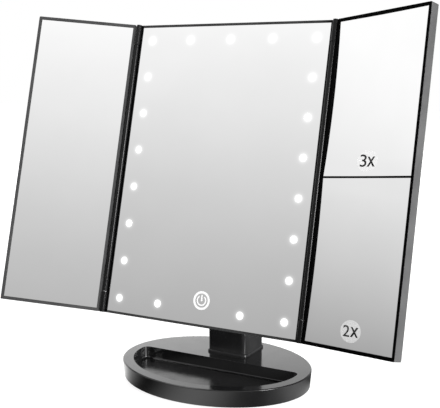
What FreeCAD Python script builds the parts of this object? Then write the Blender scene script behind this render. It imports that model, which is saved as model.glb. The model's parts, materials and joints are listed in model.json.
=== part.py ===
import FreeCAD, Part
import math
import os
import Sketcher

# Lighted tri-fold makeup mirror: oval base with a cosmetics tray, neck with a tilt pivot, panel, two wings.
# Millimetres. The origin is the middle of the base on the table, +X to the viewer's right, +Y back, +Z up.

SIZES = {
    # feet
    "foot_height": 1.0,
    "foot_radius": 5.0,
    "foot_front_side_inset": 30.0,
    "foot_front_inset": 32.0,
    "foot_rear_side_inset": 34.0,
    "foot_rear_inset": 22.0,
    # oval base
    "base_half_length": 78.8,
    "base_half_depth": 61.0,
    "base_taper": 1.2,
    "base_height": 13.3,
    "base_edge_round": 0.9,
    "base_wall": 2.0,
    "base_roof": 1.3,
    "plate_thickness": 1.5,
    "plate_gap": 0.3,
    # cosmetics tray
    "tray_rim": 8.6,
    "tray_depth": 9.7,
    "tray_back_room": 55.4,
    "tray_corner": 5.0,
    "tray_wall": 2.6,
    "tray_floor_wall": 1.6,
    # battery bay and door
    "cell_radius": 5.25,
    "cell_length": 43.7,
    "cell_nub_radius": 1.9,
    "cell_nub_length": 0.8,
    "cell_gap": 0.4,
    "bay_end": 2.5,
    "bay_rib": 1.2,
    "door_thickness": 1.1,
    "door_gap": 0.3,
    "hook_offset": 30.0,
    "hook_width": 8.0,
    "hook_reach": 1.8,
    "hook_thickness": 1.0,
    "hook_root": 1.2,
    "tongue_width": 12.0,
    "tongue_height": 1.8,
    "tongue_thickness": 1.0,
    "contact_thickness": 0.5,
    "contact_width": 8.6,
    "contact_tip_radius": 1.2,
    "contact_root_radius": 2.4,
    # power inlet
    "inlet_width": 7.6,
    "inlet_height": 2.8,
    "inlet_depth": 6.0,
    "inlet_skin": 0.4,
    "inlet_inset": 1.8,
    "inlet_gap": 0.4,
    "inlet_tongue_width": 4.0,
    "inlet_tongue_height": 0.8,
    "board_thickness": 1.2,
    "inlet_board_level": 4.8,
    "inlet_board_half_width": 13.0,
    "inlet_board_depth": 13.5,
    "inlet_board_overhang": 3.2,
    "post_radius": 2.0,
    "post_x": 5.0,
    "post_inset": 3.5,
    # screws
    "screw_radius": 1.1,
    "screw_head_radius": 2.3,
    "screw_head_height": 0.7,
    "screw_fit": 0.05,
    "screw_free": 0.4,
    "boss_radius": 3.0,
    "base_screw_length": 7.0,
    "base_screw_front_step": 5.4,
    "base_screw_rear_x": 24.0,
    "base_screw_rear_inset": 14.0,
    "neck_screw_length": 7.0,
    "neck_screw_x": 10.0,
    "neck_screw_pitch": 9.0,
    "neck_screw_inset": 5.5,
    # neck
    "neck_width": 35.0,
    "neck_back_inset": 9.5,
    "neck_straight": 45.0,
    "neck_corner": 4.0,
    "neck_top_flat": 2.0,
    "neck_top_round": 6.0,
    "neck_wall": 2.4,
    "neck_floor": 8.0,
    "neck_lip": 1.1,
    "neck_lip_height": 2.0,
    "neck_crown": 14.0,
    "wire_hole_radius": 3.0,
    # tilt pivot
    "pivot_forward": 26.5,
    "pivot_clear": 27.8,
    "pivot_behind": 26.8,
    "pivot_drop": 0.5,
    "ear_radius": 7.0,
    "axle_radius": 2.5,
    "axle_head_radius": 4.2,
    "axle_head_height": 2.0,
    "axle_recess": 3.2,
    "axle_fit": 0.05,
    "cap_thickness": 0.8,
    "nut_radius": 4.4,
    "nut_height": 2.2,
    "washer_radius": 6.0,
    "washer_thickness": 0.5,
    "washer_gap": 0.3,
    "knuckle_radius": 6.4,
    "knuckle_width": 15.0,
    "knuckle_sweep": 0.8,
    "bracket_width": 40.0,
    "bracket_height": 50.0,
    "bracket_thickness": 3.0,
    "bracket_corner": 4.0,
    "bracket_screw_x": 14.0,
    "bracket_screw_z": 19.0,
    "bracket_screw_length": 5.0,
    # centre panel
    "panel_tilt": 15.0,
    "glass_width": 165.0,
    "glass_height": 233.0,
    "glass_thickness": 2.0,
    "glass_gap": 0.1,
    "lip_proud": 0.45,
    "rim_side": 1.55,
    "rim_end": 1.9,
    "frame_depth": 6.5,
    "frame_wall": 1.4,
    "frame_web": 1.4,
    "frame_corner": 1.2,
    "cover_depth": 4.0,
    "cover_wall": 1.6,
    "cover_round": 2.6,
    "panel_screw_inset": 25.5,
    "panel_screw_low": 24.0,
    # lights and touch control
    "led_side_inset": 10.18,
    "led_end_inset": 11.05,
    "led_width": 3.5,
    "led_height": 2.8,
    "led_thickness": 1.3,
    "led_hole_radius": 3.4,
    "window_radius": 3.1,
    "window_depth": 0.15,
    "led_board_width": 16.0,
    "touch_x": 2.5,
    "touch_z": 18.2,
    "touch_radius": 6.5,
    "touch_thickness": 0.6,
    "touch_gap": 1.0,
    "control_width": 46.0,
    "control_height": 22.0,
    "control_low": 27.0,
    "chip_width": 9.0,
    "chip_thickness": 1.2,
    # wing hinges
    "hinge_forward": 1.2,
    "hinge_gap": 0.35,
    "barrel_radius": 1.9,
    "end_knuckle_radius": 2.2,
    "end_knuckle_length": 16.5,
    "end_knuckle_web": 2.0,
    "end_cap": 1.5,
    "pin_radius": 0.8,
    "pin_fit": 0.02,
    "pin_running_fit": 0.05,
    "pin_reach": 12.0,
    # wings
    "wing_angle": 22.0,
    "wing_inner_edge": 0.6,
    "wing_glass_start": 4.9,
    "wing_closed_gap": 1.6,
    "wing_glass_thickness": 2.6,
    "wing_rim_side": 2.55,
    "wing_rim_end": 2.5,
    "wing_thickness": 7.2,
    "wing_web": 1.4,
    "wing_corner": 1.0,
    "wing_back_rim": 2.0,
    "wing_back_thickness": 2.0,
    "divider_width": 1.1,
    "divider_rise": 1.4,
    "curve_radius_2x": 2400.0,
    "curve_radius_3x": 1500.0,
    # cuts run past the faces they open by this much
    "overrun": 1.0,
}

# lengths closer than this count as equal
SAME_PLACE = 0.0001
LED_COLUMNS = 5
LED_ROWS = 8
# the base's top edge: how far below the top and how far in, as shares of its round
EDGE_ROUND_SHARES = ((1, 0), (0.62, 0.07), (0.29, 0.29), (0.07, 0.62), (0, 1))


class Size:
    """A length that knows its value and its formula in the sheet, so that sums stay bound to the cells."""

    def __init__(self, text, value):
        self.text = text
        self.value = value

    def __float__(self):
        return self.value

    def __add__(self, other):
        return Size(f"({self.text} + {as_size(other).text})", self.value + as_size(other).value)

    def __sub__(self, other):
        return Size(f"({self.text} - {as_size(other).text})", self.value - as_size(other).value)

    def __mul__(self, factor):
        return Size(f"({self.text} * {factor})", self.value * factor)

    def __truediv__(self, factor):
        return Size(f"({self.text} / {factor})", self.value / factor)

    def __neg__(self):
        return Size(f"(-{self.text})", -self.value)

    __rmul__ = __mul__


def as_size(number):
    return number if isinstance(number, Size) else Size(str(number), float(number))


class Sheet:
    """The spreadsheet of driving dimensions, read by name."""

    def __init__(self, document, sizes):
        self.cells = document.addObject("Spreadsheet::Sheet", "Sizes")
        for row, (name, value) in enumerate(sizes.items(), start=1):
            self.cells.set(f"A{row}", name)
            self.cells.set(f"B{row}", str(value))
            self.cells.setAlias(f"B{row}", name)
        document.recompute()

    def __getattr__(self, name):
        return Size(f"Sizes.{name}", float(self.cells.get(name)))


doc = FreeCAD.newDocument("makeup_mirror")
s = Sheet(doc, SIZES)
ZERO = as_size(0)
nodes = {}

# Levels and places that several pieces share.
led_pitch_x = (s.glass_width - 2 * s.led_side_inset) / (LED_COLUMNS - 1)
led_pitch_z = (s.glass_height - 2 * s.led_end_inset) / (LED_ROWS - 1)
base_top = s.foot_height + s.base_height
plate_top = s.foot_height + s.plate_thickness
roof_under = base_top - s.base_roof
cavity_half_length = s.base_half_length - s.base_taper - s.base_wall
cavity_half_depth = s.base_half_depth - s.base_taper - s.base_wall
tray_rear = s.base_half_depth - s.tray_back_room
tray_floor = base_top - s.tray_depth
tray_under = tray_floor - s.tray_floor_wall
door_top = s.foot_height + s.door_thickness
bay_front = tray_rear + s.tray_wall + s.cell_gap
bay_rear = bay_front + 4 * s.cell_radius + 3 * s.cell_gap
bay_half = s.cell_length + s.cell_nub_length + s.bay_end
rib_low = plate_top + s.hook_reach + s.plate_gap
door_half = bay_half - s.door_gap
door_front = bay_front + s.door_gap
door_rear = bay_rear - s.door_gap
inlet_back = s.base_half_depth - s.inlet_inset
inlet_board_rear = inlet_back - s.inlet_board_overhang
inlet_board_front = inlet_board_rear - s.inlet_board_depth
inlet_board_top = s.inlet_board_level + s.board_thickness
neck_rear = s.base_half_depth - s.neck_back_inset
neck_screw_rear = neck_rear - s.neck_screw_inset
neck_screw_front = neck_screw_rear - s.neck_screw_pitch
pivot_up = s.glass_height / 2 - s.pivot_drop
pivot_y = neck_rear - s.pivot_forward
pivot_z = base_top + pivot_up + s.pivot_clear
neck_front = pivot_y - s.ear_radius
neck_top = pivot_z + s.ear_radius
neck_half = s.neck_width / 2
slot_half = s.knuckle_width / 2 + s.washer_thickness + s.washer_gap
wire_y = (neck_screw_front + neck_screw_rear) / 2
frame_half = s.glass_width / 2 + s.rim_side
panel_low = -s.rim_end
panel_high = s.glass_height + s.rim_end
panel_back = s.frame_depth + s.cover_depth
web_back = s.glass_thickness + s.frame_web
hinge_x = frame_half + s.hinge_gap + s.barrel_radius
hinge_y = -s.hinge_forward
wing_free_edge = hinge_x - s.wing_closed_gap / 2
wing_glass_end = wing_free_edge - s.wing_rim_side
divider_level = s.glass_height / 2 + s.divider_rise
wing_back_face = s.wing_thickness - s.lip_proud
wing_seat_depth = s.lip_proud + s.wing_glass_thickness
wing_glass_low = panel_low + s.wing_rim_end
wing_glass_high = panel_high - s.wing_rim_end
relief_edge = s.end_knuckle_radius + s.hinge_gap
barrel_low = panel_low + s.end_knuckle_length + s.hinge_gap
barrel_high = panel_high - s.end_knuckle_length - s.hinge_gap
base_screw_places = [
    (side * x, y)
    for side in (-1, 1)
    for x, y in (
        ((bay_half + s.bay_rib + cavity_half_length) / 2, bay_front + s.base_screw_front_step),
        (s.base_screw_rear_x, s.base_half_depth - s.base_screw_rear_inset),
    )
]
neck_screw_rows = (neck_screw_front, neck_screw_rear)
neck_screw_places = [(side * s.neck_screw_x, y) for side in (-1, 1) for y in neck_screw_rows]
panel_screw_places = [
    (side * (s.glass_width / 2 - s.panel_screw_inset), z)
    for side in (-1, 1)
    for z in (s.panel_screw_low, s.glass_height / 2, s.glass_height - s.panel_screw_low)
]
bracket_screw_places = [
    (across * s.bracket_screw_x, pivot_up + up * s.bracket_screw_z) for across in (-1, 1) for up in (-1, 1)
]


def led_places():
    """The border of the grid of lights. The bottom row leaves out its middle one, where the touch mark is."""
    middle = LED_COLUMNS // 2
    places = []
    for row in range(LED_ROWS):
        for column in range(-middle, middle + 1):
            on_border = row in (0, LED_ROWS - 1) or abs(column) == middle
            if on_border and (row, column) != (0, 0):
                places.append((column * led_pitch_x, s.led_end_inset + row * led_pitch_z))
    return places


def panel_place():
    """Panel pieces are drawn upright from the bottom middle of the glass, and lean back about the pivot."""
    lean = FreeCAD.Rotation(FreeCAD.Vector(1, 0, 0), -float(s.panel_tilt))
    pivot = FreeCAD.Placement(FreeCAD.Vector(0, float(pivot_y), float(pivot_z)), lean)
    shift = FreeCAD.Vector(0, -float(s.pivot_behind), -float(pivot_up))
    return pivot.multiply(FreeCAD.Placement(shift, FreeCAD.Rotation()))


def wing_place(side):
    """Wing pieces are drawn from their hinge axis, and swing forward about it."""
    swing = FreeCAD.Rotation(FreeCAD.Vector(0, 0, 1), -side * float(s.wing_angle))
    axis = FreeCAD.Vector(side * float(hinge_x), float(hinge_y), 0)
    return panel_place().multiply(FreeCAD.Placement(axis, swing))


def bind(item, prop, size):
    item.setExpression(prop, as_size(size).text)


def point(x, y):
    return FreeCAD.Vector(float(x), float(y), 0)


def sketch(body, name, role, level=ZERO):
    """A sketch on one of the body's own origin planes, level millimetres along the plane's normal."""
    drawing = body.newObject("Sketcher::SketchObject", name)
    plane = next(feature for feature in body.Origin.OriginFeatures if feature.Role == role)
    drawing.AttachmentSupport = (plane, [""])
    drawing.MapMode = "FlatFace"
    bind(drawing, "AttachmentOffset.Base.z", level)
    return drawing


def hold(drawing, kind, *where, size):
    """One dimension of a sketch, bound to the sheet."""
    index = drawing.addConstraint(Sketcher.Constraint(kind, *where, float(size)))
    bind(drawing, f"Constraints[{index}]", size)


def locate(drawing, geometry, end, x, y):
    for kind, size, axis in (("DistanceX", as_size(x), -2), ("DistanceY", as_size(y), -1)):
        if size.value == 0:
            drawing.addConstraint(Sketcher.Constraint("PointOnObject", geometry, end, axis))
        else:
            hold(drawing, kind, -1, 1, geometry, end, size=size)


def outline(drawing, corners):
    """A closed run of straight lines through the corners."""
    lines = [
        drawing.addGeometry(Part.LineSegment(point(*start), point(*end)))
        for start, end in zip(corners, corners[1:] + corners[:1])
    ]
    for line, following in zip(lines, lines[1:] + lines[:1]):
        drawing.addConstraint(Sketcher.Constraint("Coincident", line, 2, following, 1))
    for line, corner in zip(lines, corners):
        locate(drawing, line, 1, *corner)
    return drawing


def rectangle(drawing, left, right, low, high):
    return outline(drawing, [(left, low), (right, low), (right, high), (left, high)])


def circles(drawing, places, radius):
    for x, y in places:
        ring = drawing.addGeometry(Part.Circle(point(x, y), FreeCAD.Vector(0, 0, 1), float(radius)))
        locate(drawing, ring, 3, x, y)
        hold(drawing, "Radius", ring, size=radius)
    return drawing


def ellipse(drawing, half_length, half_depth):
    curve = drawing.addGeometry(Part.Ellipse(point(ZERO, ZERO), float(half_length), float(half_depth)))
    hold_ellipse(drawing, curve, half_length, half_depth)
    return drawing


def hold_ellipse(drawing, curve, half_length, half_depth):
    drawing.exposeInternalGeometry(curve)
    long_axis = len(drawing.Geometry) - 4
    short_axis = long_axis + 1
    drawing.addConstraint(Sketcher.Constraint("Coincident", curve, 3, -1, 1))
    drawing.addConstraint(Sketcher.Constraint("Horizontal", long_axis))
    hold(drawing, "Distance", long_axis, size=2 * half_length)
    hold(drawing, "Distance", short_axis, size=2 * half_depth)


def dee(drawing, half_length, half_depth, rear):
    """The tray's outline: the front of an ellipse, closed by a straight line at the rear."""
    turn = math.asin(float(rear) / float(half_depth))
    oval = Part.Ellipse(point(ZERO, ZERO), float(half_length), float(half_depth))
    front = drawing.addGeometry(Part.ArcOfEllipse(oval, math.pi - turn, 2 * math.pi + turn))
    ends = drawing.Geometry[front]
    back = drawing.addGeometry(Part.LineSegment(ends.EndPoint, ends.StartPoint))
    drawing.addConstraint(Sketcher.Constraint("Coincident", front, 2, back, 1))
    drawing.addConstraint(Sketcher.Constraint("Coincident", back, 2, front, 1))
    hold_ellipse(drawing, front, half_length, half_depth)
    drawing.addConstraint(Sketcher.Constraint("Horizontal", back))
    hold(drawing, "DistanceY", -1, 1, back, 1, size=rear)
    return drawing


def new_body(name):
    return doc.addObject("PartDesign::Body", name + "_body")


def pad(body, name, drawing, length, backward=False, both_ways=False):
    feature = body.newObject("PartDesign::Pad", name)
    feature.Profile = drawing
    bind(feature, "Length", length)
    feature.Reversed = backward
    if both_ways:
        feature.SideType = "Symmetric"
    return feature


def pocket(body, name, drawing, length, backward=False, both_ways=False):
    """A cut that has to take something away."""
    doc.recompute()
    before = body.Tip.Shape.Volume
    feature = body.newObject("PartDesign::Pocket", name)
    feature.Profile = drawing
    bind(feature, "Length", length)
    feature.Reversed = backward
    if both_ways:
        feature.SideType = "Symmetric"
    doc.recompute()
    if feature.Shape.Volume >= before:
        raise RuntimeError(f"{name} cuts nothing")
    return feature


def fillet(body, name, radius, wanted):
    """Rounds those edges of the body so far that the test wanted picks."""
    doc.recompute()
    base = body.Tip
    edges = [f"Edge{number}" for number, edge in enumerate(base.Shape.Edges, start=1) if wanted(edge)]
    feature = body.newObject("PartDesign::Fillet", name)
    feature.Base = (base, edges)
    bind(feature, "Radius", radius)
    return feature


def near(value, size):
    return abs(value - float(size)) < SAME_PLACE


def level_at(edge, axis, size):
    """True where the whole edge lies in the plane that the size gives across that axis."""
    low = getattr(edge.BoundBox, axis + "Min")
    high = getattr(edge.BoundBox, axis + "Max")
    return near(low, size) and near(high, size)


def runs_along(edge, axis):
    spans = {"X": edge.BoundBox.XLength, "Y": edge.BoundBox.YLength, "Z": edge.BoundBox.ZLength}
    return all(length < SAME_PLACE for name, length in spans.items() if name != axis)


def block(name, low, high):
    """A plain box between two corners."""
    item = doc.addObject("Part::Box", name)
    for prop, axis, start, end in zip(("Length", "Width", "Height"), "xyz", low, high):
        bind(item, prop, as_size(end) - start)
        bind(item, f"Placement.Base.{axis}", start)
    return item


AXIS_TURNS = {
    "X": FreeCAD.Rotation(FreeCAD.Vector(0, 1, 0), 90),
    "Y": FreeCAD.Rotation(FreeCAD.Vector(1, 0, 0), -90),
    "Z": FreeCAD.Rotation(),
}


def lay(item, axis, start):
    """Turns a round solid along the axis and puts its first end at start."""
    item.Placement = FreeCAD.Placement(FreeCAD.Vector(), AXIS_TURNS[axis])
    for letter, size in zip("xyz", start):
        bind(item, f"Placement.Base.{letter}", size)
    return item


def rod(name, axis, start, radius, length):
    item = doc.addObject("Part::Cylinder", name)
    bind(item, "Radius", radius)
    bind(item, "Height", length)
    return lay(item, axis, start)


def taper(name, axis, start, first_radius, last_radius, length):
    item = doc.addObject("Part::Cone", name)
    bind(item, "Radius1", first_radius)
    bind(item, "Radius2", last_radius)
    bind(item, "Height", length)
    return lay(item, axis, start)


def fuse(name, items):
    item = doc.addObject("Part::MultiFuse", name)
    item.Shapes = items
    return item


def cut(name, base, tool):
    item = doc.addObject("Part::Cut", name)
    item.Base = base
    item.Tool = tool
    return item


def group(name, items):
    item = doc.addObject("Part::Compound", name)
    item.Links = items
    return item


def node(name, item, place=None):
    """Registers a finished piece under the name of its file."""
    item.Label = name
    if place is not None:
        item.Placement = place
    nodes[name] = item
    return item


def screw(name, axis, head_face, length):
    """A pan-head screw whose head sits on head_face and whose shank runs along the axis."""
    step = {"Y": (ZERO, s.screw_head_height, ZERO), "Z": (ZERO, ZERO, s.screw_head_height)}[axis]
    head_start = [as_size(place) - back for place, back in zip(head_face, step)]
    head = rod(name + "_head", axis, head_start, s.screw_head_radius, s.screw_head_height)
    shank = rod(name + "_shank", axis, head_face, s.screw_radius, length)
    return fuse(name, [head, shank])


def rear_screw(name, head_face, length):
    """The same screw driven forward, towards -Y."""
    x, y, z = head_face
    head = rod(name + "_head", "Y", head_face, s.screw_head_radius, s.screw_head_height)
    shank = rod(name + "_shank", "Y", (x, y - length, z), s.screw_radius, length)
    return fuse(name, [head, shank])


def make_base_shell():
    body = new_body("base_shell")
    sections = [(s.foot_height, s.base_taper)]
    for drop_share, inset_share in EDGE_ROUND_SHARES:
        sections.append((base_top - s.base_edge_round * drop_share, s.base_edge_round * inset_share))
    ovals = [
        ellipse(
            sketch(body, f"base_section_{number}", "XY_Plane", level),
            s.base_half_length - inset,
            s.base_half_depth - inset,
        )
        for number, (level, inset) in enumerate(sections)
    ]
    outside = body.newObject("PartDesign::AdditiveLoft", "base_outside")
    outside.Profile = ovals[0]
    outside.Sections = ovals[1:]
    outside.Ruled = True

    hollow = ellipse(
        sketch(body, "base_hollow_outline", "XY_Plane", s.foot_height), cavity_half_length, cavity_half_depth
    )
    pocket(body, "base_hollow", hollow, s.base_height - s.base_roof, backward=True)

    # the tray hangs from the roof as a second, deeper wall
    inner_length = s.base_half_length - s.tray_rim
    inner_depth = s.base_half_depth - s.tray_rim
    drawing = sketch(body, "tray_outside_outline", "XY_Plane", tray_under)
    dee(drawing, inner_length + s.tray_wall, inner_depth + s.tray_wall, tray_rear + s.tray_wall)
    pad(body, "tray_outside", drawing, roof_under - tray_under + s.base_roof / 2)
    drawing = sketch(body, "tray_outline", "XY_Plane", base_top)
    dee(drawing, inner_length, inner_depth, tray_rear)
    pocket(body, "tray", drawing, s.tray_depth)
    fillet(
        body,
        "tray_corners",
        s.tray_corner,
        lambda edge: runs_along(edge, "Z") and near(edge.BoundBox.YMax, tray_rear),
    )

    # walls of the battery bay
    drawing = sketch(body, "bay_outline", "XY_Plane", rib_low)
    outer = bay_half + s.bay_rib
    rectangle(drawing, -outer, outer, bay_front - s.bay_rib, bay_rear + s.bay_rib)
    rectangle(drawing, -bay_half, bay_half, bay_front, bay_rear)
    pad(body, "bay_walls", drawing, roof_under - rib_low + s.base_roof / 2)

    # screw bosses, and posts for the inlet board
    drawing = circles(sketch(body, "boss_outline", "XY_Plane", plate_top), base_screw_places, s.boss_radius)
    pad(body, "bosses", drawing, roof_under - plate_top + s.base_roof / 2)
    post_places = [(side * s.post_x, inlet_board_front + s.post_inset) for side in (-1, 1)]
    drawing = circles(sketch(body, "post_outline", "XY_Plane", inlet_board_top), post_places, s.post_radius)
    pad(body, "posts", drawing, roof_under - inlet_board_top + s.base_roof / 2)
    drawing = sketch(body, "boss_hole_outline", "XY_Plane", plate_top)
    circles(drawing, base_screw_places, s.screw_radius + s.screw_fit)
    pocket(body, "boss_holes", drawing, s.base_screw_length, backward=True)

    # holes under the neck, and the inlet in the rear wall
    drawing = sketch(body, "neck_hole_outline", "XY_Plane", base_top)
    circles(drawing, neck_screw_places, s.screw_radius + s.screw_free)
    circles(drawing, [(ZERO, wire_y)], s.wire_hole_radius)
    pocket(body, "neck_holes", drawing, s.base_roof + s.overrun)
    low = inlet_board_top - s.inlet_gap
    drawing = sketch(body, "inlet_outline", "XZ_Plane", -s.base_half_depth - s.overrun)
    rectangle(
        drawing,
        -s.inlet_width / 2 - s.inlet_gap,
        s.inlet_width / 2 + s.inlet_gap,
        low,
        inlet_board_top + s.inlet_height + s.inlet_gap,
    )
    rear_wall = s.base_half_depth - cavity_half_depth
    pocket(body, "inlet_opening", drawing, rear_wall + 2 * s.overrun, backward=True)
    node("base_shell", body)


def make_base_plate():
    body = new_body("base_plate")
    drawing = ellipse(
        sketch(body, "plate_outline", "XY_Plane", s.foot_height),
        cavity_half_length - s.plate_gap,
        cavity_half_depth - s.plate_gap,
    )
    pad(body, "plate", drawing, s.plate_thickness)
    drawing = sketch(body, "door_opening_outline", "XY_Plane", plate_top)
    rectangle(drawing, -bay_half, bay_half, bay_front, bay_rear)
    circles(drawing, base_screw_places, s.screw_radius + s.screw_free)
    pocket(body, "door_opening", drawing, s.plate_thickness)
    node("base_plate", body)


def make_battery_door():
    body = new_body("battery_door")
    drawing = sketch(body, "door_outline", "XY_Plane", s.foot_height)
    rectangle(drawing, -door_half, door_half, door_front, door_rear)
    pad(body, "door", drawing, s.door_thickness)
    hook_low = plate_top + s.door_gap
    hook_high = hook_low + s.hook_thickness
    tip = door_rear + s.hook_reach
    root = door_rear - s.hook_root
    for label, side in (("left", -1), ("right", 1)):
        drawing = sketch(body, f"{label}_hook_outline", "YZ_Plane", side * s.hook_offset - s.hook_width / 2)
        outline(
            drawing,
            [
                (root, s.foot_height + s.door_thickness / 2),
                (door_rear, s.foot_height + s.door_thickness / 2),
                (door_rear, hook_low),
                (tip, hook_low),
                (tip, hook_high),
                (root, hook_high),
            ],
        )
        pad(body, f"{label}_hook", drawing, s.hook_width)
    drawing = sketch(body, "tongue_outline", "XY_Plane", s.foot_height + s.door_thickness / 2)
    rectangle(
        drawing, -s.tongue_width / 2, s.tongue_width / 2, door_front, door_front + s.tongue_thickness
    )
    pad(body, "tongue", drawing, s.door_thickness / 2 + s.tongue_height)
    node("battery_door", body)


def cell_rows():
    first = bay_front + s.cell_gap + s.cell_radius
    return (first, first + 2 * s.cell_radius + s.cell_gap)


def make_battery_cells():
    """Four cells in two rows of two, end to end."""
    cell_axis = door_top + s.door_gap + s.cell_radius
    cells = []
    for row, y in enumerate(cell_rows()):
        for number, start in enumerate((-s.cell_length - s.cell_nub_length, ZERO)):
            name = f"cell_{row}_{number}"
            can = rod(name + "_can", "X", (start, y, cell_axis), s.cell_radius, s.cell_length)
            nub_start = start + s.cell_length
            nub = rod(name + "_nub", "X", (nub_start, y, cell_axis), s.cell_nub_radius, s.cell_nub_length)
            cells.append(fuse(name, [can, nub]))
    node("battery_cells", group("battery_cells", cells))


def make_battery_contacts():
    """A leaf with a drawn dimple at each end of each row of cells."""
    cell_axis = door_top + s.door_gap + s.cell_radius
    leaf_start = bay_half - s.contact_thickness
    dimple = leaf_start - s.cell_length - s.cell_nub_length
    half = s.contact_width / 2
    contacts = []
    for row, y in enumerate(cell_rows()):
        for label, side in (("left", -1), ("right", 1)):
            name = f"contact_{label}_{row}"
            low_x = leaf_start if side > 0 else -bay_half
            leaf = block(
                name + "_leaf",
                (low_x, y - half, cell_axis - half),
                (low_x + s.contact_thickness, y + half, cell_axis + half),
            )
            tip_start = s.cell_length + s.cell_nub_length if side > 0 else -leaf_start
            radii = [s.contact_root_radius, s.contact_tip_radius]
            first, last = reversed(radii) if side > 0 else radii
            tip = taper(name + "_tip", "X", (tip_start, y, cell_axis), first, last, dimple)
            contacts.append(fuse(name, [leaf, tip]))
    node("battery_contacts", group("battery_contacts", contacts))


def make_inlet():
    half = s.inlet_width / 2
    front = inlet_back - s.inlet_depth
    top = inlet_board_top + s.inlet_height
    can = block("inlet_can", (-half, front, inlet_board_top), (half, inlet_back, top))
    mouth = block(
        "inlet_mouth",
        (-half + s.inlet_skin, front + s.inlet_skin, inlet_board_top + s.inlet_skin),
        (half - s.inlet_skin, inlet_back + s.overrun, top - s.inlet_skin),
    )
    shell = cut("inlet_shell", can, mouth)
    middle = inlet_board_top + s.inlet_height / 2
    tongue = block(
        "inlet_tongue",
        (-s.inlet_tongue_width / 2, front, middle - s.inlet_tongue_height / 2),
        (s.inlet_tongue_width / 2, inlet_back - s.inlet_skin, middle + s.inlet_tongue_height / 2),
    )
    node("usb_socket", fuse("usb_socket", [shell, tongue]))
    board = block(
        "usb_board",
        (-s.inlet_board_half_width, inlet_board_front, s.inlet_board_level),
        (s.inlet_board_half_width, inlet_board_rear, inlet_board_top),
    )
    node("usb_board", board)


def make_feet():
    places = [
        (side * (s.base_half_length - side_inset), y)
        for side in (-1, 1)
        for side_inset, y in (
            (s.foot_front_side_inset, s.foot_front_inset - s.base_half_depth),
            (s.foot_rear_side_inset, s.base_half_depth - s.foot_rear_inset),
        )
    ]
    feet = [
        rod(f"foot_{number}", "Z", (x, y, ZERO), s.foot_radius, s.foot_height)
        for number, (x, y) in enumerate(places)
    ]
    node("rubber_feet", group("rubber_feet", feet))


def make_base_screws():
    length = s.plate_thickness + s.base_screw_length - s.overrun
    screws = [
        screw(f"base_screw_{number}", "Z", (x, y, s.foot_height), length)
        for number, (x, y) in enumerate(base_screw_places)
    ]
    node("base_screws", group("base_screws", screws))


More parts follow.
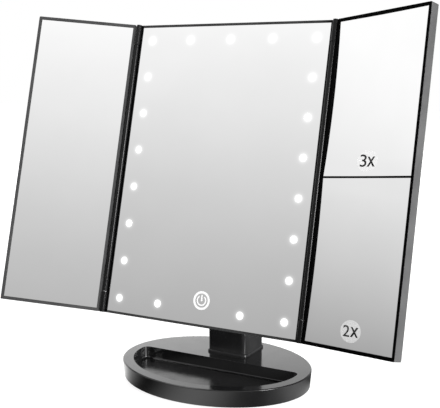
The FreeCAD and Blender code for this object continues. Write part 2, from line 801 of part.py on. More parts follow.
def make_neck():
    body = new_body("neck")
    top_rear = pivot_y + s.ear_radius + s.neck_top_flat
    bend = base_top + s.neck_straight
    drawing = sketch(body, "neck_outline", "YZ_Plane")
    run_in = float(neck_rear) - float(top_rear)
    rise = float(neck_top) - float(bend)
    radius = (run_in**2 + rise**2) / (2 * run_in)
    sweep = math.asin(rise / radius)
    corners = [(neck_front, base_top), (neck_front, neck_top), (top_rear, neck_top)]
    front = drawing.addGeometry(Part.LineSegment(point(*corners[0]), point(*corners[1])))
    top = drawing.addGeometry(Part.LineSegment(point(*corners[1]), point(*corners[2])))
    centre = FreeCAD.Vector(float(neck_rear) - radius, float(bend), 0)
    round_back = Part.Circle(centre, FreeCAD.Vector(0, 0, 1), radius)
    curve = drawing.addGeometry(Part.ArcOfCircle(round_back, 0, sweep))
    rear = drawing.addGeometry(Part.LineSegment(point(neck_rear, bend), point(neck_rear, base_top)))
    foot = drawing.addGeometry(Part.LineSegment(point(neck_rear, base_top), point(*corners[0])))
    meetings = ((front, 2, top, 1), (top, 2, curve, 2), (rear, 2, foot, 1), (foot, 2, front, 1))
    for meeting in meetings:
        drawing.addConstraint(Sketcher.Constraint("Coincident", *meeting))
    drawing.addConstraint(Sketcher.Constraint("Tangent", curve, 1, rear, 1))
    for line, corner in zip((front, top), corners):
        locate(drawing, line, 1, *corner)
    locate(drawing, top, 2, *corners[2])
    locate(drawing, rear, 1, neck_rear, bend)
    locate(drawing, rear, 2, neck_rear, base_top)
    pad(body, "neck_column", drawing, s.neck_width, both_ways=True)
    fillet(
        body,
        "neck_top_rounds",
        s.neck_top_round,
        lambda edge: runs_along(edge, "X") and level_at(edge, "Z", neck_top),
    )
    fillet(
        body,
        "neck_corners",
        s.neck_corner,
        lambda edge: near(abs(edge.BoundBox.XMin), neck_half)
        and edge.BoundBox.XLength < SAME_PLACE
        and not level_at(edge, "Z", base_top),
    )
    drawing = sketch(body, "neck_lip_outline", "XY_Plane", base_top)
    rectangle(
        drawing,
        -neck_half - s.neck_lip,
        neck_half + s.neck_lip,
        neck_front - s.neck_lip,
        neck_rear + s.neck_lip,
    )
    pad(body, "neck_lip_ring", drawing, s.neck_lip_height)
    fillet(
        body,
        "neck_lip_corners",
        s.neck_corner + s.neck_lip,
        lambda edge: runs_along(edge, "Z") and near(edge.BoundBox.ZMin, base_top),
    )

    # hollow inside, from the floor up to the crown that holds the pivot
    core_low = base_top + s.neck_floor
    core_high = pivot_z - s.neck_crown
    lean_share = (float(core_high) - float(bend)) / rise
    core_front = neck_front + s.neck_wall
    core_rear = neck_rear - s.neck_wall
    core_rear_high = core_rear - (neck_rear - top_rear) * lean_share
    drawing = outline(
        sketch(body, "neck_core_outline", "YZ_Plane"),
        [
            (core_front, core_low),
            (core_rear, core_low),
            (core_rear, bend),
            (core_rear_high, core_high),
            (core_front, core_high),
        ],
    )
    pocket(body, "neck_core", drawing, s.neck_width - 2 * s.neck_wall, both_ways=True)

    # slot for the panel's knuckle, axle hole and its two recesses
    slot_low = pivot_z - s.knuckle_radius - s.knuckle_sweep
    drawing = sketch(body, "neck_slot_outline", "YZ_Plane")
    rectangle(drawing, neck_front - s.overrun, top_rear + s.ear_radius, slot_low, neck_top + s.overrun)
    pocket(body, "neck_slot", drawing, 2 * slot_half, both_ways=True)
    pivot = [(pivot_y, pivot_z)]
    drawing = circles(sketch(body, "axle_hole_outline", "YZ_Plane"), pivot, s.axle_radius + s.pin_fit)
    pocket(body, "axle_hole", drawing, s.neck_width, both_ways=True)
    for label, side in (("left", -1), ("right", 1)):
        drawing = sketch(body, f"{label}_recess_outline", "YZ_Plane", side * neck_half)
        circles(drawing, pivot, s.nut_radius + s.axle_fit)
        pocket(body, f"{label}_recess", drawing, s.axle_recess, backward=side < 0)

    # screw holes and the way for the wires, up from the base and into the slot
    drawing = sketch(body, "neck_screw_outline", "XY_Plane", base_top)
    circles(drawing, neck_screw_places, s.screw_radius + s.screw_fit)
    pocket(body, "neck_screw_holes", drawing, s.neck_screw_length - s.overrun, backward=True)
    drawing = sketch(body, "neck_wire_outline", "XY_Plane", base_top)
    circles(drawing, [(ZERO, wire_y)], s.wire_hole_radius)
    pocket(body, "neck_wire_hole", drawing, s.neck_floor + s.overrun, backward=True)
    node("neck", body)


def make_neck_screws():
    screws = [
        screw(f"neck_screw_{number}", "Z", (x, y, roof_under), s.neck_screw_length)
        for number, (x, y) in enumerate(neck_screw_places)
    ]
    node("neck_screws", group("neck_screws", screws))


def make_tilt_axle():
    """A bolt through both ears: head on the right, nut on the left, a plug over each recess."""
    seat = neck_half - s.axle_recess
    centre = (pivot_y, pivot_z)
    shank = rod("axle_shank", "X", (-seat - s.nut_height, *centre), s.axle_radius, 2 * seat + s.nut_height)
    head = rod("axle_head", "X", (seat, *centre), s.axle_head_radius, s.axle_head_height)
    node("tilt_axle", fuse("tilt_axle", [shank, head]))

    body = new_body("tilt_nut")
    drawing = sketch(body, "nut_outline", "YZ_Plane", -seat - s.nut_height)
    corners = [
        (pivot_y + s.nut_radius * math.cos(turn), pivot_z + s.nut_radius * math.sin(turn))
        for turn in (side * math.pi / 3 for side in range(6))
    ]
    outline(drawing, corners)
    circles(drawing, [centre], s.axle_radius + s.pin_fit)
    pad(body, "nut", drawing, s.nut_height)
    node("tilt_nut", body)

    washers = []
    for label, start in (("left", -slot_half), ("right", slot_half - s.washer_thickness)):
        disc = rod(f"{label}_washer_disc", "X", (start, *centre), s.washer_radius, s.washer_thickness)
        hole_start = (start - s.overrun, *centre)
        hole_length = s.washer_thickness + 2 * s.overrun
        hole = rod(f"{label}_washer_hole", "X", hole_start, s.axle_radius + s.axle_fit, hole_length)
        washers.append(cut(f"{label}_washer", disc, hole))
    node("tilt_washers", group("tilt_washers", washers))

    caps = [
        rod(f"{label}_cap", "X", (start, *centre), s.nut_radius, s.cap_thickness)
        for label, start in (("left", -neck_half), ("right", neck_half - s.cap_thickness))
    ]
    node("pivot_caps", group("pivot_caps", caps))


def make_tilt_bracket():
    """A plate screwed to the panel's back, with the arm and knuckle that turn between the ears."""
    body = new_body("tilt_bracket")
    plate_back = panel_back + s.bracket_thickness
    half_height = s.bracket_height / 2
    drawing = sketch(body, "bracket_outline", "XZ_Plane", -plate_back)
    rectangle(
        drawing,
        -s.bracket_width / 2,
        s.bracket_width / 2,
        pivot_up - half_height,
        pivot_up + half_height,
    )
    pad(body, "bracket_plate", drawing, s.bracket_thickness)
    fillet(body, "bracket_corners", s.bracket_corner, lambda edge: runs_along(edge, "Y"))

    drawing = sketch(body, "arm_outline", "YZ_Plane")
    root = panel_back + s.bracket_thickness / 2
    low = pivot_up - s.knuckle_radius
    high = pivot_up + s.knuckle_radius
    under = drawing.addGeometry(Part.LineSegment(point(root, low), point(s.pivot_behind, low)))
    round_end = Part.Circle(point(s.pivot_behind, pivot_up), FreeCAD.Vector(0, 0, 1), float(s.knuckle_radius))
    end = drawing.addGeometry(Part.ArcOfCircle(round_end, -math.pi / 2, math.pi / 2))
    over = drawing.addGeometry(Part.LineSegment(point(s.pivot_behind, high), point(root, high)))
    back = drawing.addGeometry(Part.LineSegment(point(root, high), point(root, low)))
    drawing.addConstraint(Sketcher.Constraint("Tangent", under, 2, end, 1))
    drawing.addConstraint(Sketcher.Constraint("Tangent", end, 2, over, 1))
    drawing.addConstraint(Sketcher.Constraint("Coincident", over, 2, back, 1))
    drawing.addConstraint(Sketcher.Constraint("Coincident", back, 2, under, 1))
    drawing.addConstraint(Sketcher.Constraint("Horizontal", under))
    drawing.addConstraint(Sketcher.Constraint("Vertical", back))
    locate(drawing, end, 3, s.pivot_behind, pivot_up)
    hold(drawing, "Radius", end, size=s.knuckle_radius)
    hold(drawing, "DistanceX", -1, 1, back, 1, size=root)
    pad(body, "bracket_arm", drawing, s.knuckle_width, both_ways=True)
    centre = [(s.pivot_behind, pivot_up)]
    drawing = circles(sketch(body, "bracket_bore_outline", "YZ_Plane"), centre, s.axle_radius + s.axle_fit)
    pocket(body, "bracket_bore", drawing, s.knuckle_width, both_ways=True)
    drawing = circles(
        sketch(body, "bracket_hole_outline", "XZ_Plane", -plate_back),
        bracket_screw_places,
        s.screw_radius + s.screw_free,
    )
    pocket(body, "bracket_holes", drawing, s.bracket_thickness, backward=True)
    node("tilt_bracket", body, panel_place())

    face = panel_back + s.bracket_thickness
    screws = [
        rear_screw(f"bracket_screw_{number}", (x, face, z), s.bracket_screw_length)
        for number, (x, z) in enumerate(bracket_screw_places)
    ]
    node("bracket_screws", group("bracket_screws", screws), panel_place())


def make_panel_frame():
    body = new_body("panel_frame")
    drawing = sketch(body, "frame_outline", "XZ_Plane", -s.frame_depth)
    rectangle(drawing, -frame_half, frame_half, panel_low, panel_high)
    pad(body, "frame_block", drawing, s.frame_depth + s.lip_proud)
    fillet(body, "frame_corners", s.frame_corner, lambda edge: runs_along(edge, "Y"))

    # seat for the glass in front, room for the boards behind
    half = s.glass_width / 2 + s.glass_gap
    drawing = sketch(body, "glass_seat_outline", "XZ_Plane", s.lip_proud)
    rectangle(drawing, -half, half, -s.glass_gap, s.glass_height + s.glass_gap)
    pocket(body, "glass_seat", drawing, s.lip_proud + s.glass_thickness)
    half = frame_half - s.frame_wall
    drawing = sketch(body, "board_room_outline", "XZ_Plane", -s.frame_depth)
    rectangle(drawing, -half, half, panel_low + s.frame_wall, panel_high - s.frame_wall)
    pocket(body, "board_room", drawing, s.frame_depth - web_back, backward=True)

    # a hole for each light and for the touch electrode, through the web
    drawing = sketch(body, "light_hole_outline", "XZ_Plane", -s.glass_thickness)
    circles(drawing, led_places(), s.led_hole_radius)
    circles(drawing, [(s.touch_x, s.touch_z)], s.touch_radius + s.touch_gap)
    pocket(body, "light_holes", drawing, s.frame_web)

    # bosses for the rear cover's screws
    drawing = sketch(body, "frame_boss_outline", "XZ_Plane", -s.frame_depth)
    circles(drawing, panel_screw_places, s.boss_radius)
    pad(body, "frame_bosses", drawing, s.frame_depth - s.glass_thickness)
    drawing = sketch(body, "frame_boss_hole_outline", "XZ_Plane", -s.frame_depth)
    circles(drawing, panel_screw_places, s.screw_radius + s.screw_fit)
    pocket(body, "frame_boss_holes", drawing, s.frame_depth - web_back, backward=True)

    # end knuckles of both wing hinges, top and bottom
    for label, level in (("low", panel_low), ("high", panel_high - s.end_knuckle_length)):
        drawing = sketch(body, f"{label}_web_outline", "XY_Plane", level)
        for side in (-1, 1):
            edges = sorted((side * (frame_half - s.frame_wall / 2), side * hinge_x), key=float)
            rectangle(drawing, *edges, -s.lip_proud, s.end_knuckle_web)
        pad(body, f"{label}_knuckle_webs", drawing, s.end_knuckle_length)
        places = [(side * hinge_x, hinge_y) for side in (-1, 1)]
        drawing = sketch(body, f"{label}_knuckle_outline", "XY_Plane", level)
        circles(drawing, places, s.end_knuckle_radius)
        pad(body, f"{label}_knuckles", drawing, s.end_knuckle_length)
        inner_end = level + s.end_knuckle_length if label == "low" else level
        drawing = sketch(body, f"{label}_pin_hole_outline", "XY_Plane", inner_end)
        circles(drawing, places, s.pin_radius + s.pin_fit)
        pin_depth = s.end_knuckle_length - s.end_cap
        pocket(body, f"{label}_pin_holes", drawing, pin_depth, backward=label == "high")

    # a ledge behind each barrel closes the line of sight through the hinge
    ledge_low = panel_low + s.end_knuckle_length
    ledge_high = panel_high - s.end_knuckle_length
    ledge_front = hinge_y + s.barrel_radius + s.hinge_gap
    drawing = sketch(body, "hinge_ledge_outline", "XY_Plane", ledge_low)
    for side in (-1, 1):
        edges = sorted((side * (frame_half - s.frame_wall / 2), side * hinge_x), key=float)
        rectangle(drawing, *edges, ledge_front, s.end_knuckle_web)
    pad(body, "hinge_ledges", drawing, ledge_high - ledge_low)
    node("panel_frame", body, panel_place())


def make_rear_cover():
    body = new_body("panel_rear_cover")
    drawing = sketch(body, "cover_outline", "XZ_Plane", -panel_back)
    rectangle(drawing, -frame_half, frame_half, panel_low, panel_high)
    pad(body, "cover_block", drawing, s.cover_depth)
    fillet(body, "cover_corners", s.frame_corner, lambda edge: runs_along(edge, "Y"))
    fillet(body, "cover_edge", s.cover_round, lambda edge: level_at(edge, "Y", panel_back))
    half = frame_half - s.cover_round
    drawing = sketch(body, "cover_room_outline", "XZ_Plane", -s.frame_depth)
    rectangle(drawing, -half, half, panel_low + s.cover_round, panel_high - s.cover_round)
    pocket(body, "cover_room", drawing, s.cover_depth - s.cover_wall)
    bosses = panel_screw_places + bracket_screw_places
    drawing = circles(sketch(body, "cover_boss_outline", "XZ_Plane", -panel_back), bosses, s.boss_radius)
    pad(body, "cover_bosses", drawing, s.cover_depth)
    drawing = sketch(body, "cover_hole_outline", "XZ_Plane", -panel_back)
    circles(drawing, panel_screw_places, s.screw_radius + s.screw_free)
    pocket(body, "cover_holes", drawing, s.cover_depth, backward=True)
    drawing = sketch(body, "cover_recess_outline", "XZ_Plane", -panel_back)
    circles(drawing, panel_screw_places, s.screw_head_radius + s.screw_free)
    pocket(body, "cover_recesses", drawing, s.cover_wall, backward=True)
    drawing = sketch(body, "cover_pilot_outline", "XZ_Plane", -panel_back)
    circles(drawing, bracket_screw_places, s.screw_radius + s.screw_fit)
    pocket(body, "cover_pilots", drawing, s.cover_depth, backward=True)
    node("panel_rear_cover", body, panel_place())

    face = panel_back - s.cover_wall
    length = s.cover_depth - s.cover_wall + s.frame_depth - web_back
    screws = [
        rear_screw(f"panel_screw_{number}", (x, face, z), length)
        for number, (x, z) in enumerate(panel_screw_places)
    ]
    node("panel_screws", group("panel_screws", screws), panel_place())


def make_centre_mirror():
    """The glass, with the clear windows etched through the silver on its back."""
    body = new_body("centre_mirror")
    drawing = sketch(body, "glass_outline", "XZ_Plane", -s.glass_thickness)
    rectangle(drawing, -s.glass_width / 2, s.glass_width / 2, ZERO, s.glass_height)
    pad(body, "glass", drawing, s.glass_thickness)
    drawing = sketch(body, "window_outline", "XZ_Plane", -s.glass_thickness)
    circles(drawing, led_places(), s.window_radius)
    pocket(body, "windows", drawing, s.window_depth, backward=True)
    node("centre_mirror", body, panel_place())


def make_lights():
    body = new_body("led_board")
    half = s.glass_width / 2 - s.led_side_inset + s.led_board_width / 2
    low = s.led_end_inset - s.led_board_width / 2
    high = s.glass_height - s.led_end_inset + s.led_board_width / 2
    drawing = sketch(body, "led_board_outline", "XZ_Plane", -web_back - s.board_thickness)
    rectangle(drawing, -half, half, low, high)
    rectangle(
        drawing,
        -half + s.led_board_width,
        half - s.led_board_width,
        low + s.led_board_width,
        high - s.led_board_width,
    )
    pad(body, "led_board_ring", drawing, s.board_thickness)
    node("led_board", body, panel_place())

    lamps = [
        block(
            f"led_{number}",
            (x - s.led_width / 2, web_back - s.led_thickness, z - s.led_height / 2),
            (x + s.led_width / 2, web_back, z + s.led_height / 2),
        )
        for number, (x, z) in enumerate(led_places())
    ]
    node("leds", group("leds", lamps), panel_place())


def make_touch_control():
    start = (s.touch_x, s.glass_thickness, s.touch_z)
    pad_disc = rod("touch_sensor", "Y", start, s.touch_radius, s.touch_thickness)
    electrode = group("touch_sensor_group", [pad_disc])
    node("touch_sensor", electrode, panel_place())

    half = s.control_width / 2
    board_back = web_back + s.board_thickness
    board = block(
        "control_panel",
        (-half, web_back, s.control_low),
        (half, board_back, s.control_low + s.control_height),
    )
    middle = s.control_low + s.control_height / 2
    chip = block(
        "control_chip",
        (-s.chip_width / 2, board_back, middle - s.chip_width / 2),
        (s.chip_width / 2, board_back + s.chip_thickness, middle + s.chip_width / 2),
    )
    node("control_board", fuse("control_board", [board, chip]), panel_place())


def make_hinge_pins(label, side):
    """A short steel pin at each end, fixed in the frame's knuckle and free in the wing's barrel."""
    length = s.end_knuckle_length - s.end_cap + s.hinge_gap + s.pin_reach
    starts = (panel_low + s.end_cap, panel_high - s.end_cap - length)
    pins = [
        rod(f"{label}_pin_{number}", "Z", (side * hinge_x, hinge_y, start), s.pin_radius, length)
        for number, start in enumerate(starts)
    ]
    node(f"{label}_hinge_pins", group(f"{label}_hinge_pins", pins), panel_place())


def wing_rectangle(drawing, side, inner, outer, low, high):
    edges = sorted((side * inner, side * outer), key=float)
    return rectangle(drawing, *edges, low, high)


def make_wing_frame(label, side, divided):
    body = new_body(f"{label}_wing_frame")
    drawing = sketch(body, f"{label}_wing_outline", "XZ_Plane", -wing_back_face)
    wing_rectangle(drawing, side, s.wing_inner_edge, wing_free_edge, panel_low, panel_high)
    pad(body, f"{label}_wing_block", drawing, s.wing_thickness)

    # the corners by the hinge stand back to let the frame's knuckles turn past
    ends = (("low", panel_low - s.overrun, barrel_low), ("high", barrel_high, panel_high + s.overrun))
    for end, low, high in ends:
        drawing = sketch(body, f"{label}_{end}_relief_outline", "XZ_Plane", -wing_back_face - s.overrun)
        wing_rectangle(drawing, side, s.wing_inner_edge - s.overrun, relief_edge, low, high)
        pocket(body, f"{label}_{end}_relief", drawing, s.wing_thickness + 2 * s.overrun, backward=True)
    fillet(
        body,
        f"{label}_wing_corners",
        s.wing_corner,
        lambda edge: runs_along(edge, "Y")
        and (near(edge.BoundBox.ZMin, panel_low) or near(edge.BoundBox.ZMin, panel_high)),
    )

    # glass seat in front, one or two panes, and a shallow room behind
    seat_start = s.wing_glass_start - s.glass_gap
    seat_end = wing_glass_end + s.glass_gap
    seats = [(wing_glass_low - s.glass_gap, wing_glass_high + s.glass_gap)]
    if divided:
        bar = s.divider_width / 2
        seats = [(seats[0][0], divider_level - bar), (divider_level + bar, seats[0][1])]
    drawing = sketch(body, f"{label}_seat_outline", "XZ_Plane", s.lip_proud)
    for low, high in seats:
        wing_rectangle(drawing, side, seat_start, seat_end, low, high)
    pocket(body, f"{label}_seat", drawing, wing_seat_depth)
    drawing = sketch(body, f"{label}_room_outline", "XZ_Plane", -wing_back_face)
    wing_rectangle(
        drawing,
        side,
        relief_edge + s.wing_back_rim,
        wing_free_edge - s.wing_back_rim,
        panel_low + s.wing_back_rim,
        panel_high - s.wing_back_rim,
    )
    pocket(body, f"{label}_room", drawing, s.wing_thickness - wing_seat_depth - s.wing_web, backward=True)

    # hinge barrel along the inner edge, bored at both ends for the pins
    axis = [(ZERO, ZERO)]
    drawing = circles(sketch(body, f"{label}_barrel_outline", "XY_Plane", barrel_low), axis, s.barrel_radius)
    pad(body, f"{label}_barrel", drawing, barrel_high - barrel_low)
    for end, level in (("low", barrel_low), ("high", barrel_high)):
        drawing = sketch(body, f"{label}_{end}_bore_outline", "XY_Plane", level)
        circles(drawing, axis, s.pin_radius + s.pin_running_fit)
        pocket(body, f"{label}_{end}_bore", drawing, s.pin_reach + s.hinge_gap, backward=end == "low")
    node(f"{label}_wing_frame", body, wing_place(side))


def make_wing_back(label, side):
    start = relief_edge + s.wing_back_rim + s.glass_gap
    end = wing_free_edge - s.wing_back_rim - s.glass_gap
    edges = sorted((side * start, side * end), key=float)
    low = panel_low + s.wing_back_rim + s.glass_gap
    high = panel_high - s.wing_back_rim - s.glass_gap
    front = wing_back_face - s.wing_back_thickness
    panel = block(f"{label}_wing_back_panel", (edges[0], front, low), (edges[1], wing_back_face, high))
    node(f"{label}_wing_back", group(f"{label}_wing_back", [panel]), wing_place(side))


def wing_pane(name, side, low, high):
    edges = sorted((side * s.wing_glass_start, side * wing_glass_end), key=float)
    return block(name, (edges[0], ZERO, low), (edges[1], s.wing_glass_thickness, high))


def make_left_mirror():
    pane = wing_pane("left_pane", -1, wing_glass_low, wing_glass_high)
    node("left_mirror", group("left_mirror", [pane]), wing_place(-1))


def make_magnifier(name, low, high, curve_radius):
    """A pane whose face is hollowed to a wide sphere that just meets the pane's corners."""
    pane = wing_pane(name + "_pane", 1, low, high)
    middle_x = (s.wing_glass_start + wing_glass_end) / 2
    middle_z = (low + high) / 2
    corner = math.hypot(float(wing_glass_end - s.wing_glass_start) / 2, (float(high) - float(low)) / 2)
    reach_share = math.sqrt(1 - (corner / float(curve_radius)) ** 2)
    ball = doc.addObject("Part::Sphere", name + "_ball")
    bind(ball, "Radius", curve_radius)
    lay(ball, "Z", (middle_x, -curve_radius * reach_share, middle_z))
    node(name, cut(name, pane, ball), wing_place(1))


def make_right_mirrors():
    bar = s.divider_width / 2 + s.glass_gap
    make_magnifier("mirror_2x", wing_glass_low, divider_level - bar, s.curve_radius_2x)
    make_magnifier("mirror_3x", divider_level + bar, wing_glass_high, s.curve_radius_3x)


def main():
    make_base_shell()
    make_base_plate()
    make_battery_door()
    make_battery_cells()
    make_battery_contacts()
    make_inlet()
    make_feet()
    make_base_screws()
    make_neck()
    make_neck_screws()
    make_tilt_axle()
    make_tilt_bracket()
    make_panel_frame()
    make_rear_cover()
    make_centre_mirror()
    make_lights()
    make_touch_control()
    for label, side, divided in (("left", -1, False), ("right", 1, True)):
        make_hinge_pins(label, side)
        make_wing_frame(label, side, divided)
        make_wing_back(label, side)
    make_left_mirror()
    make_right_mirrors()
    doc.recompute()

    for item in doc.Objects:
        if "Invalid" in item.State or "Error" in item.State:
            raise RuntimeError(f"{item.Label}: {item.State}")
    for name, item in nodes.items():
        if item.Shape.isNull() or not item.Shape.isValid() or not item.Shape.Solids:
            raise RuntimeError(f"{name} is not a valid solid")
    os.makedirs("parts", exist_ok=True)
    for name, item in nodes.items():
        item.Shape.exportStep(os.path.join("parts", name + ".step"))
        print(f"{name}: {len(item.Shape.Solids)} solids, {item.Shape.Volume:.0f} mm3")


main()
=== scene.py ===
import json
import math

import bmesh
import bpy
from mathutils import Matrix, Vector


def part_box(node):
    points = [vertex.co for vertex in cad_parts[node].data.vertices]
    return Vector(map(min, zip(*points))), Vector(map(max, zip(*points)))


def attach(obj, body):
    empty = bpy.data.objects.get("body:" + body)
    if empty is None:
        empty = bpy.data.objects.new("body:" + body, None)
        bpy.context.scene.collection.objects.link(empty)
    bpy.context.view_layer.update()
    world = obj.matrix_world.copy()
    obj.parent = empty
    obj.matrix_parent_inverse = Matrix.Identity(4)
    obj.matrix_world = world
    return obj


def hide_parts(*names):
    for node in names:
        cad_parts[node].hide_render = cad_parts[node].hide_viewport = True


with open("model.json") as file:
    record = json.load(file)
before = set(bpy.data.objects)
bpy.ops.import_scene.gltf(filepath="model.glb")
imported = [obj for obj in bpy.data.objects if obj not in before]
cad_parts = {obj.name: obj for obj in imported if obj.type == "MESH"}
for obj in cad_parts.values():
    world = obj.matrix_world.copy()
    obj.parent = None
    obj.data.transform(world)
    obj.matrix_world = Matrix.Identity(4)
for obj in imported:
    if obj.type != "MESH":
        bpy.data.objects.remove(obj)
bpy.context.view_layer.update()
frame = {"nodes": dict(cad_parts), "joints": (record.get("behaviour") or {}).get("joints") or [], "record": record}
cad = frame["nodes"]
joints = {joint["name"]: joint for joint in frame["joints"]}
bodyOf = {node: body for body, nodes in frame["record"]["behaviour"]["bodies"].items() for node in nodes}
slotOf = {part["node"]: part["material_slot"] for part in frame["record"]["subparts"]}
scene = bpy.context.scene
scene.view_settings.view_transform = "Standard"
print("stage: frame loaded,", len(cad), "nodes")

mm = 0.001

# where the panel and the wings sit at rest, so that details can be drawn flat and then put in place
panelPose = {
    "behind": 26.8 * mm,  # glass front to tilt axis
    "up": 116.0 * mm,  # glass bottom to tilt axis
    "tilt": 15.0,
    "wingAngle": 22.0,
}
panelMatrix = (
    Matrix.Translation(joints["panel_tilt"]["pos_m"])
    @ Matrix.Rotation(math.radians(-panelPose["tilt"]), 4, "X")
    @ Matrix.Translation((0, -panelPose["behind"], -panelPose["up"]))
)


def wingMatrix(side):
    hinge = joints["left_wing_fold" if side < 0 else "right_wing_fold"]["pos_m"]
    local = panelMatrix.inverted() @ Vector(hinge)
    swing = Matrix.Rotation(math.radians(-side * panelPose["wingAngle"]), 4, "Z")
    return panelMatrix @ Matrix.Translation((local.x, local.y, 0)) @ swing


# camera, solved from the photograph's panel, wings and lights
cameraSetup = {
    "place": (0.3226, -0.5817, 0.24605),
    "right": (0.8774, 0.4798, 0.0),
    "forward": (-0.4739, 0.8667, -0.1559),
    "roll": -0.2,
    "lens": 71.01,
    "near": 0.01,
}


def makeCamera():
    forward = Vector(cameraSetup["forward"]).normalized()
    right = Vector(cameraSetup["right"]).normalized()
    up = right.cross(forward).normalized()
    right = forward.cross(up)
    turn = Matrix((right, up, -forward)).transposed().to_4x4()
    data = bpy.data.cameras.new("photoCamera")
    data.lens = cameraSetup["lens"]
    data.clip_start = cameraSetup["near"]
    rig = bpy.data.objects.new("photoCamera", data)
    roll = Matrix.Rotation(math.radians(cameraSetup["roll"]), 4, "Z")
    rig.matrix_world = Matrix.Translation(cameraSetup["place"]) @ turn @ roll
    scene.collection.objects.link(rig)
    scene.camera = rig


makeCamera()
print("stage: camera set")


# shorthands for node trees
noiseSpan = (0.35, 0.65)  # most of a noise lies between these
white = (1, 1, 1, 1)


def add(tree, kind, settings=None, values=None):
    node = tree.nodes.new(kind)
    for key, value in (settings or {}).items():
        setattr(node, key, value)
    for key, value in (values or {}).items():
        node.inputs[key].default_value = value
    return node


def wire(tree, start, end):
    tree.links.new(start, end)


def calc(tree, operation, first, second=None):
    node = add(tree, "ShaderNodeMath", {"operation": operation})
    for index, value in enumerate((first, second)):
        if value is None:
            continue
        if isinstance(value, (int, float)):
            node.inputs[index].default_value = value
        else:
            wire(tree, value, node.inputs[index])
    return node.outputs[0]


def mix(tree, first, second, share):
    # goes from the first value to the second as the share goes from 0 to 1
    kept = calc(tree, "MULTIPLY", first, calc(tree, "SUBTRACT", 1.0, share))
    return calc(tree, "ADD", kept, calc(tree, "MULTIPLY", second, share))


def axes(tree, vector):
    parts = add(tree, "ShaderNodeSeparateXYZ")
    wire(tree, vector, parts.inputs["Vector"])
    return parts.outputs["X"], parts.outputs["Y"], parts.outputs["Z"]


def newMaterial(name):
    material = bpy.data.materials.new(name)
    material.use_nodes = True
    tree = material.node_tree
    return material, tree, tree.nodes["Principled BSDF"]


def noise(tree, scale, detail=3.0, stretch=None):
    coords = add(tree, "ShaderNodeTexCoord")
    texture = add(tree, "ShaderNodeTexNoise", values={"Scale": scale, "Detail": detail})
    if stretch:
        mapping = add(tree, "ShaderNodeMapping", values={"Scale": stretch})
        wire(tree, coords.outputs["Object"], mapping.inputs["Vector"])
        wire(tree, mapping.outputs["Vector"], texture.inputs["Vector"])
    else:
        wire(tree, coords.outputs["Object"], texture.inputs["Vector"])
    return texture.outputs["Fac"]


def spread(tree, source, low, high, fromLow=noiseSpan[0], fromHigh=noiseSpan[1]):
    node = add(tree, "ShaderNodeMapRange", values={1: fromLow, 2: fromHigh, 3: low, 4: high})
    wire(tree, source, node.inputs[0])
    return node.outputs[0]


def tint(tree, source, dark, light):
    ramp = add(tree, "ShaderNodeValToRGB")
    for element, place, colour in zip(ramp.color_ramp.elements, noiseSpan, (dark, light)):
        element.position = place
        element.color = (*colour, 1)
    wire(tree, source, ramp.inputs["Fac"])
    return ramp.outputs["Color"]


# moulded plastics: colour and gloss drift over the part, a fine grain lies on top;
# "cloud" and "grain" are noise scales, "depth" is the grain's height in metres
plasticLooks = {
    "glossBlack": {
        "dark": (0.003, 0.003, 0.0032), "light": (0.006, 0.006, 0.0062), "cloud": 40,
        "rough": (0.10, 0.17), "grain": 2600, "depth": 0.0000015, "coat": 0.35, "shine": 0.5,
    },
    "trayBlack": {
        "dark": (0.004, 0.004, 0.0042), "light": (0.007, 0.007, 0.0072), "cloud": 60,
        "rough": (0.17, 0.23), "grain": 1800, "depth": 0.000006, "coat": 0.0, "shine": 1.0,
    },
    "neckBlack": {
        "dark": (0.009, 0.009, 0.0093), "light": (0.013, 0.013, 0.0133), "cloud": 45,
        "rough": (0.07, 0.12), "grain": 2600, "depth": 0.0000015, "coat": 0.0, "shine": 0.5,
    },
    "hingeBlack": {
        "dark": (0.003, 0.003, 0.0032), "light": (0.006, 0.006, 0.0062), "cloud": 60,
        "rough": (0.12, 0.18), "grain": 2400, "depth": 0.000003, "coat": 0.0, "shine": 0.2,
    },
    # painted shade: a near-black copy of the frame plastic, with almost no shine, for lips that lie in shade
    "paintedShadeBlack": {
        "dark": (0.0012, 0.0012, 0.0013), "light": (0.002, 0.002, 0.0021), "cloud": 60,
        "rough": (0.35, 0.45), "grain": 2400, "depth": 0.000003, "coat": 0.0, "shine": 0.02,
    },
    "frameBlack": {
        "dark": (0.042, 0.042, 0.0425), "light": (0.054, 0.054, 0.0545), "cloud": 45,
        "rough": (0.30, 0.40), "grain": 2400, "depth": 0.000004, "coat": 0.0, "shine": 0.03,
    },
    "satinBlack": {
        "dark": (0.0150, 0.0150, 0.0154), "light": (0.0185, 0.0185, 0.0189), "cloud": 55,
        "rough": (0.32, 0.37), "grain": 2200, "depth": 0.000012, "coat": 0.0,
    },
    "matteBlack": {
        "dark": (0.020, 0.020, 0.0205), "light": (0.026, 0.026, 0.0265), "cloud": 70,
        "rough": (0.52, 0.60), "grain": 1500, "depth": 0.00003, "coat": 0.0,
    },
    "footRubber": {
        "dark": (0.018, 0.018, 0.018), "light": (0.035, 0.035, 0.034), "cloud": 300,
        "rough": (0.72, 0.88), "grain": 1800, "depth": 0.00004, "coat": 0.0,
    },
    "naturalNylon": {
        "dark": (0.74, 0.72, 0.66), "light": (0.84, 0.82, 0.77), "cloud": 200,
        "rough": (0.42, 0.5), "grain": 1500, "depth": 0.00001, "coat": 0.0,
    },
    "cellJacket": {
        "dark": (0.20, 0.20, 0.21), "light": (0.30, 0.30, 0.31), "cloud": 90,
        "rough": (0.28, 0.36), "grain": 900, "depth": 0.000004, "coat": 0.2,
    },
    "solderResist": {
        "dark": (0.02, 0.10, 0.04), "light": (0.04, 0.17, 0.07), "cloud": 160,
        "rough": (0.3, 0.42), "grain": 1200, "depth": 0.00001, "coat": 0.1,
    },
    "lampLens": {
        "dark": (0.86, 0.86, 0.82), "light": (0.95, 0.95, 0.92), "cloud": 500,
        "rough": (0.2, 0.3), "grain": 3000, "depth": 0.000002, "coat": 0.0,
    },
}
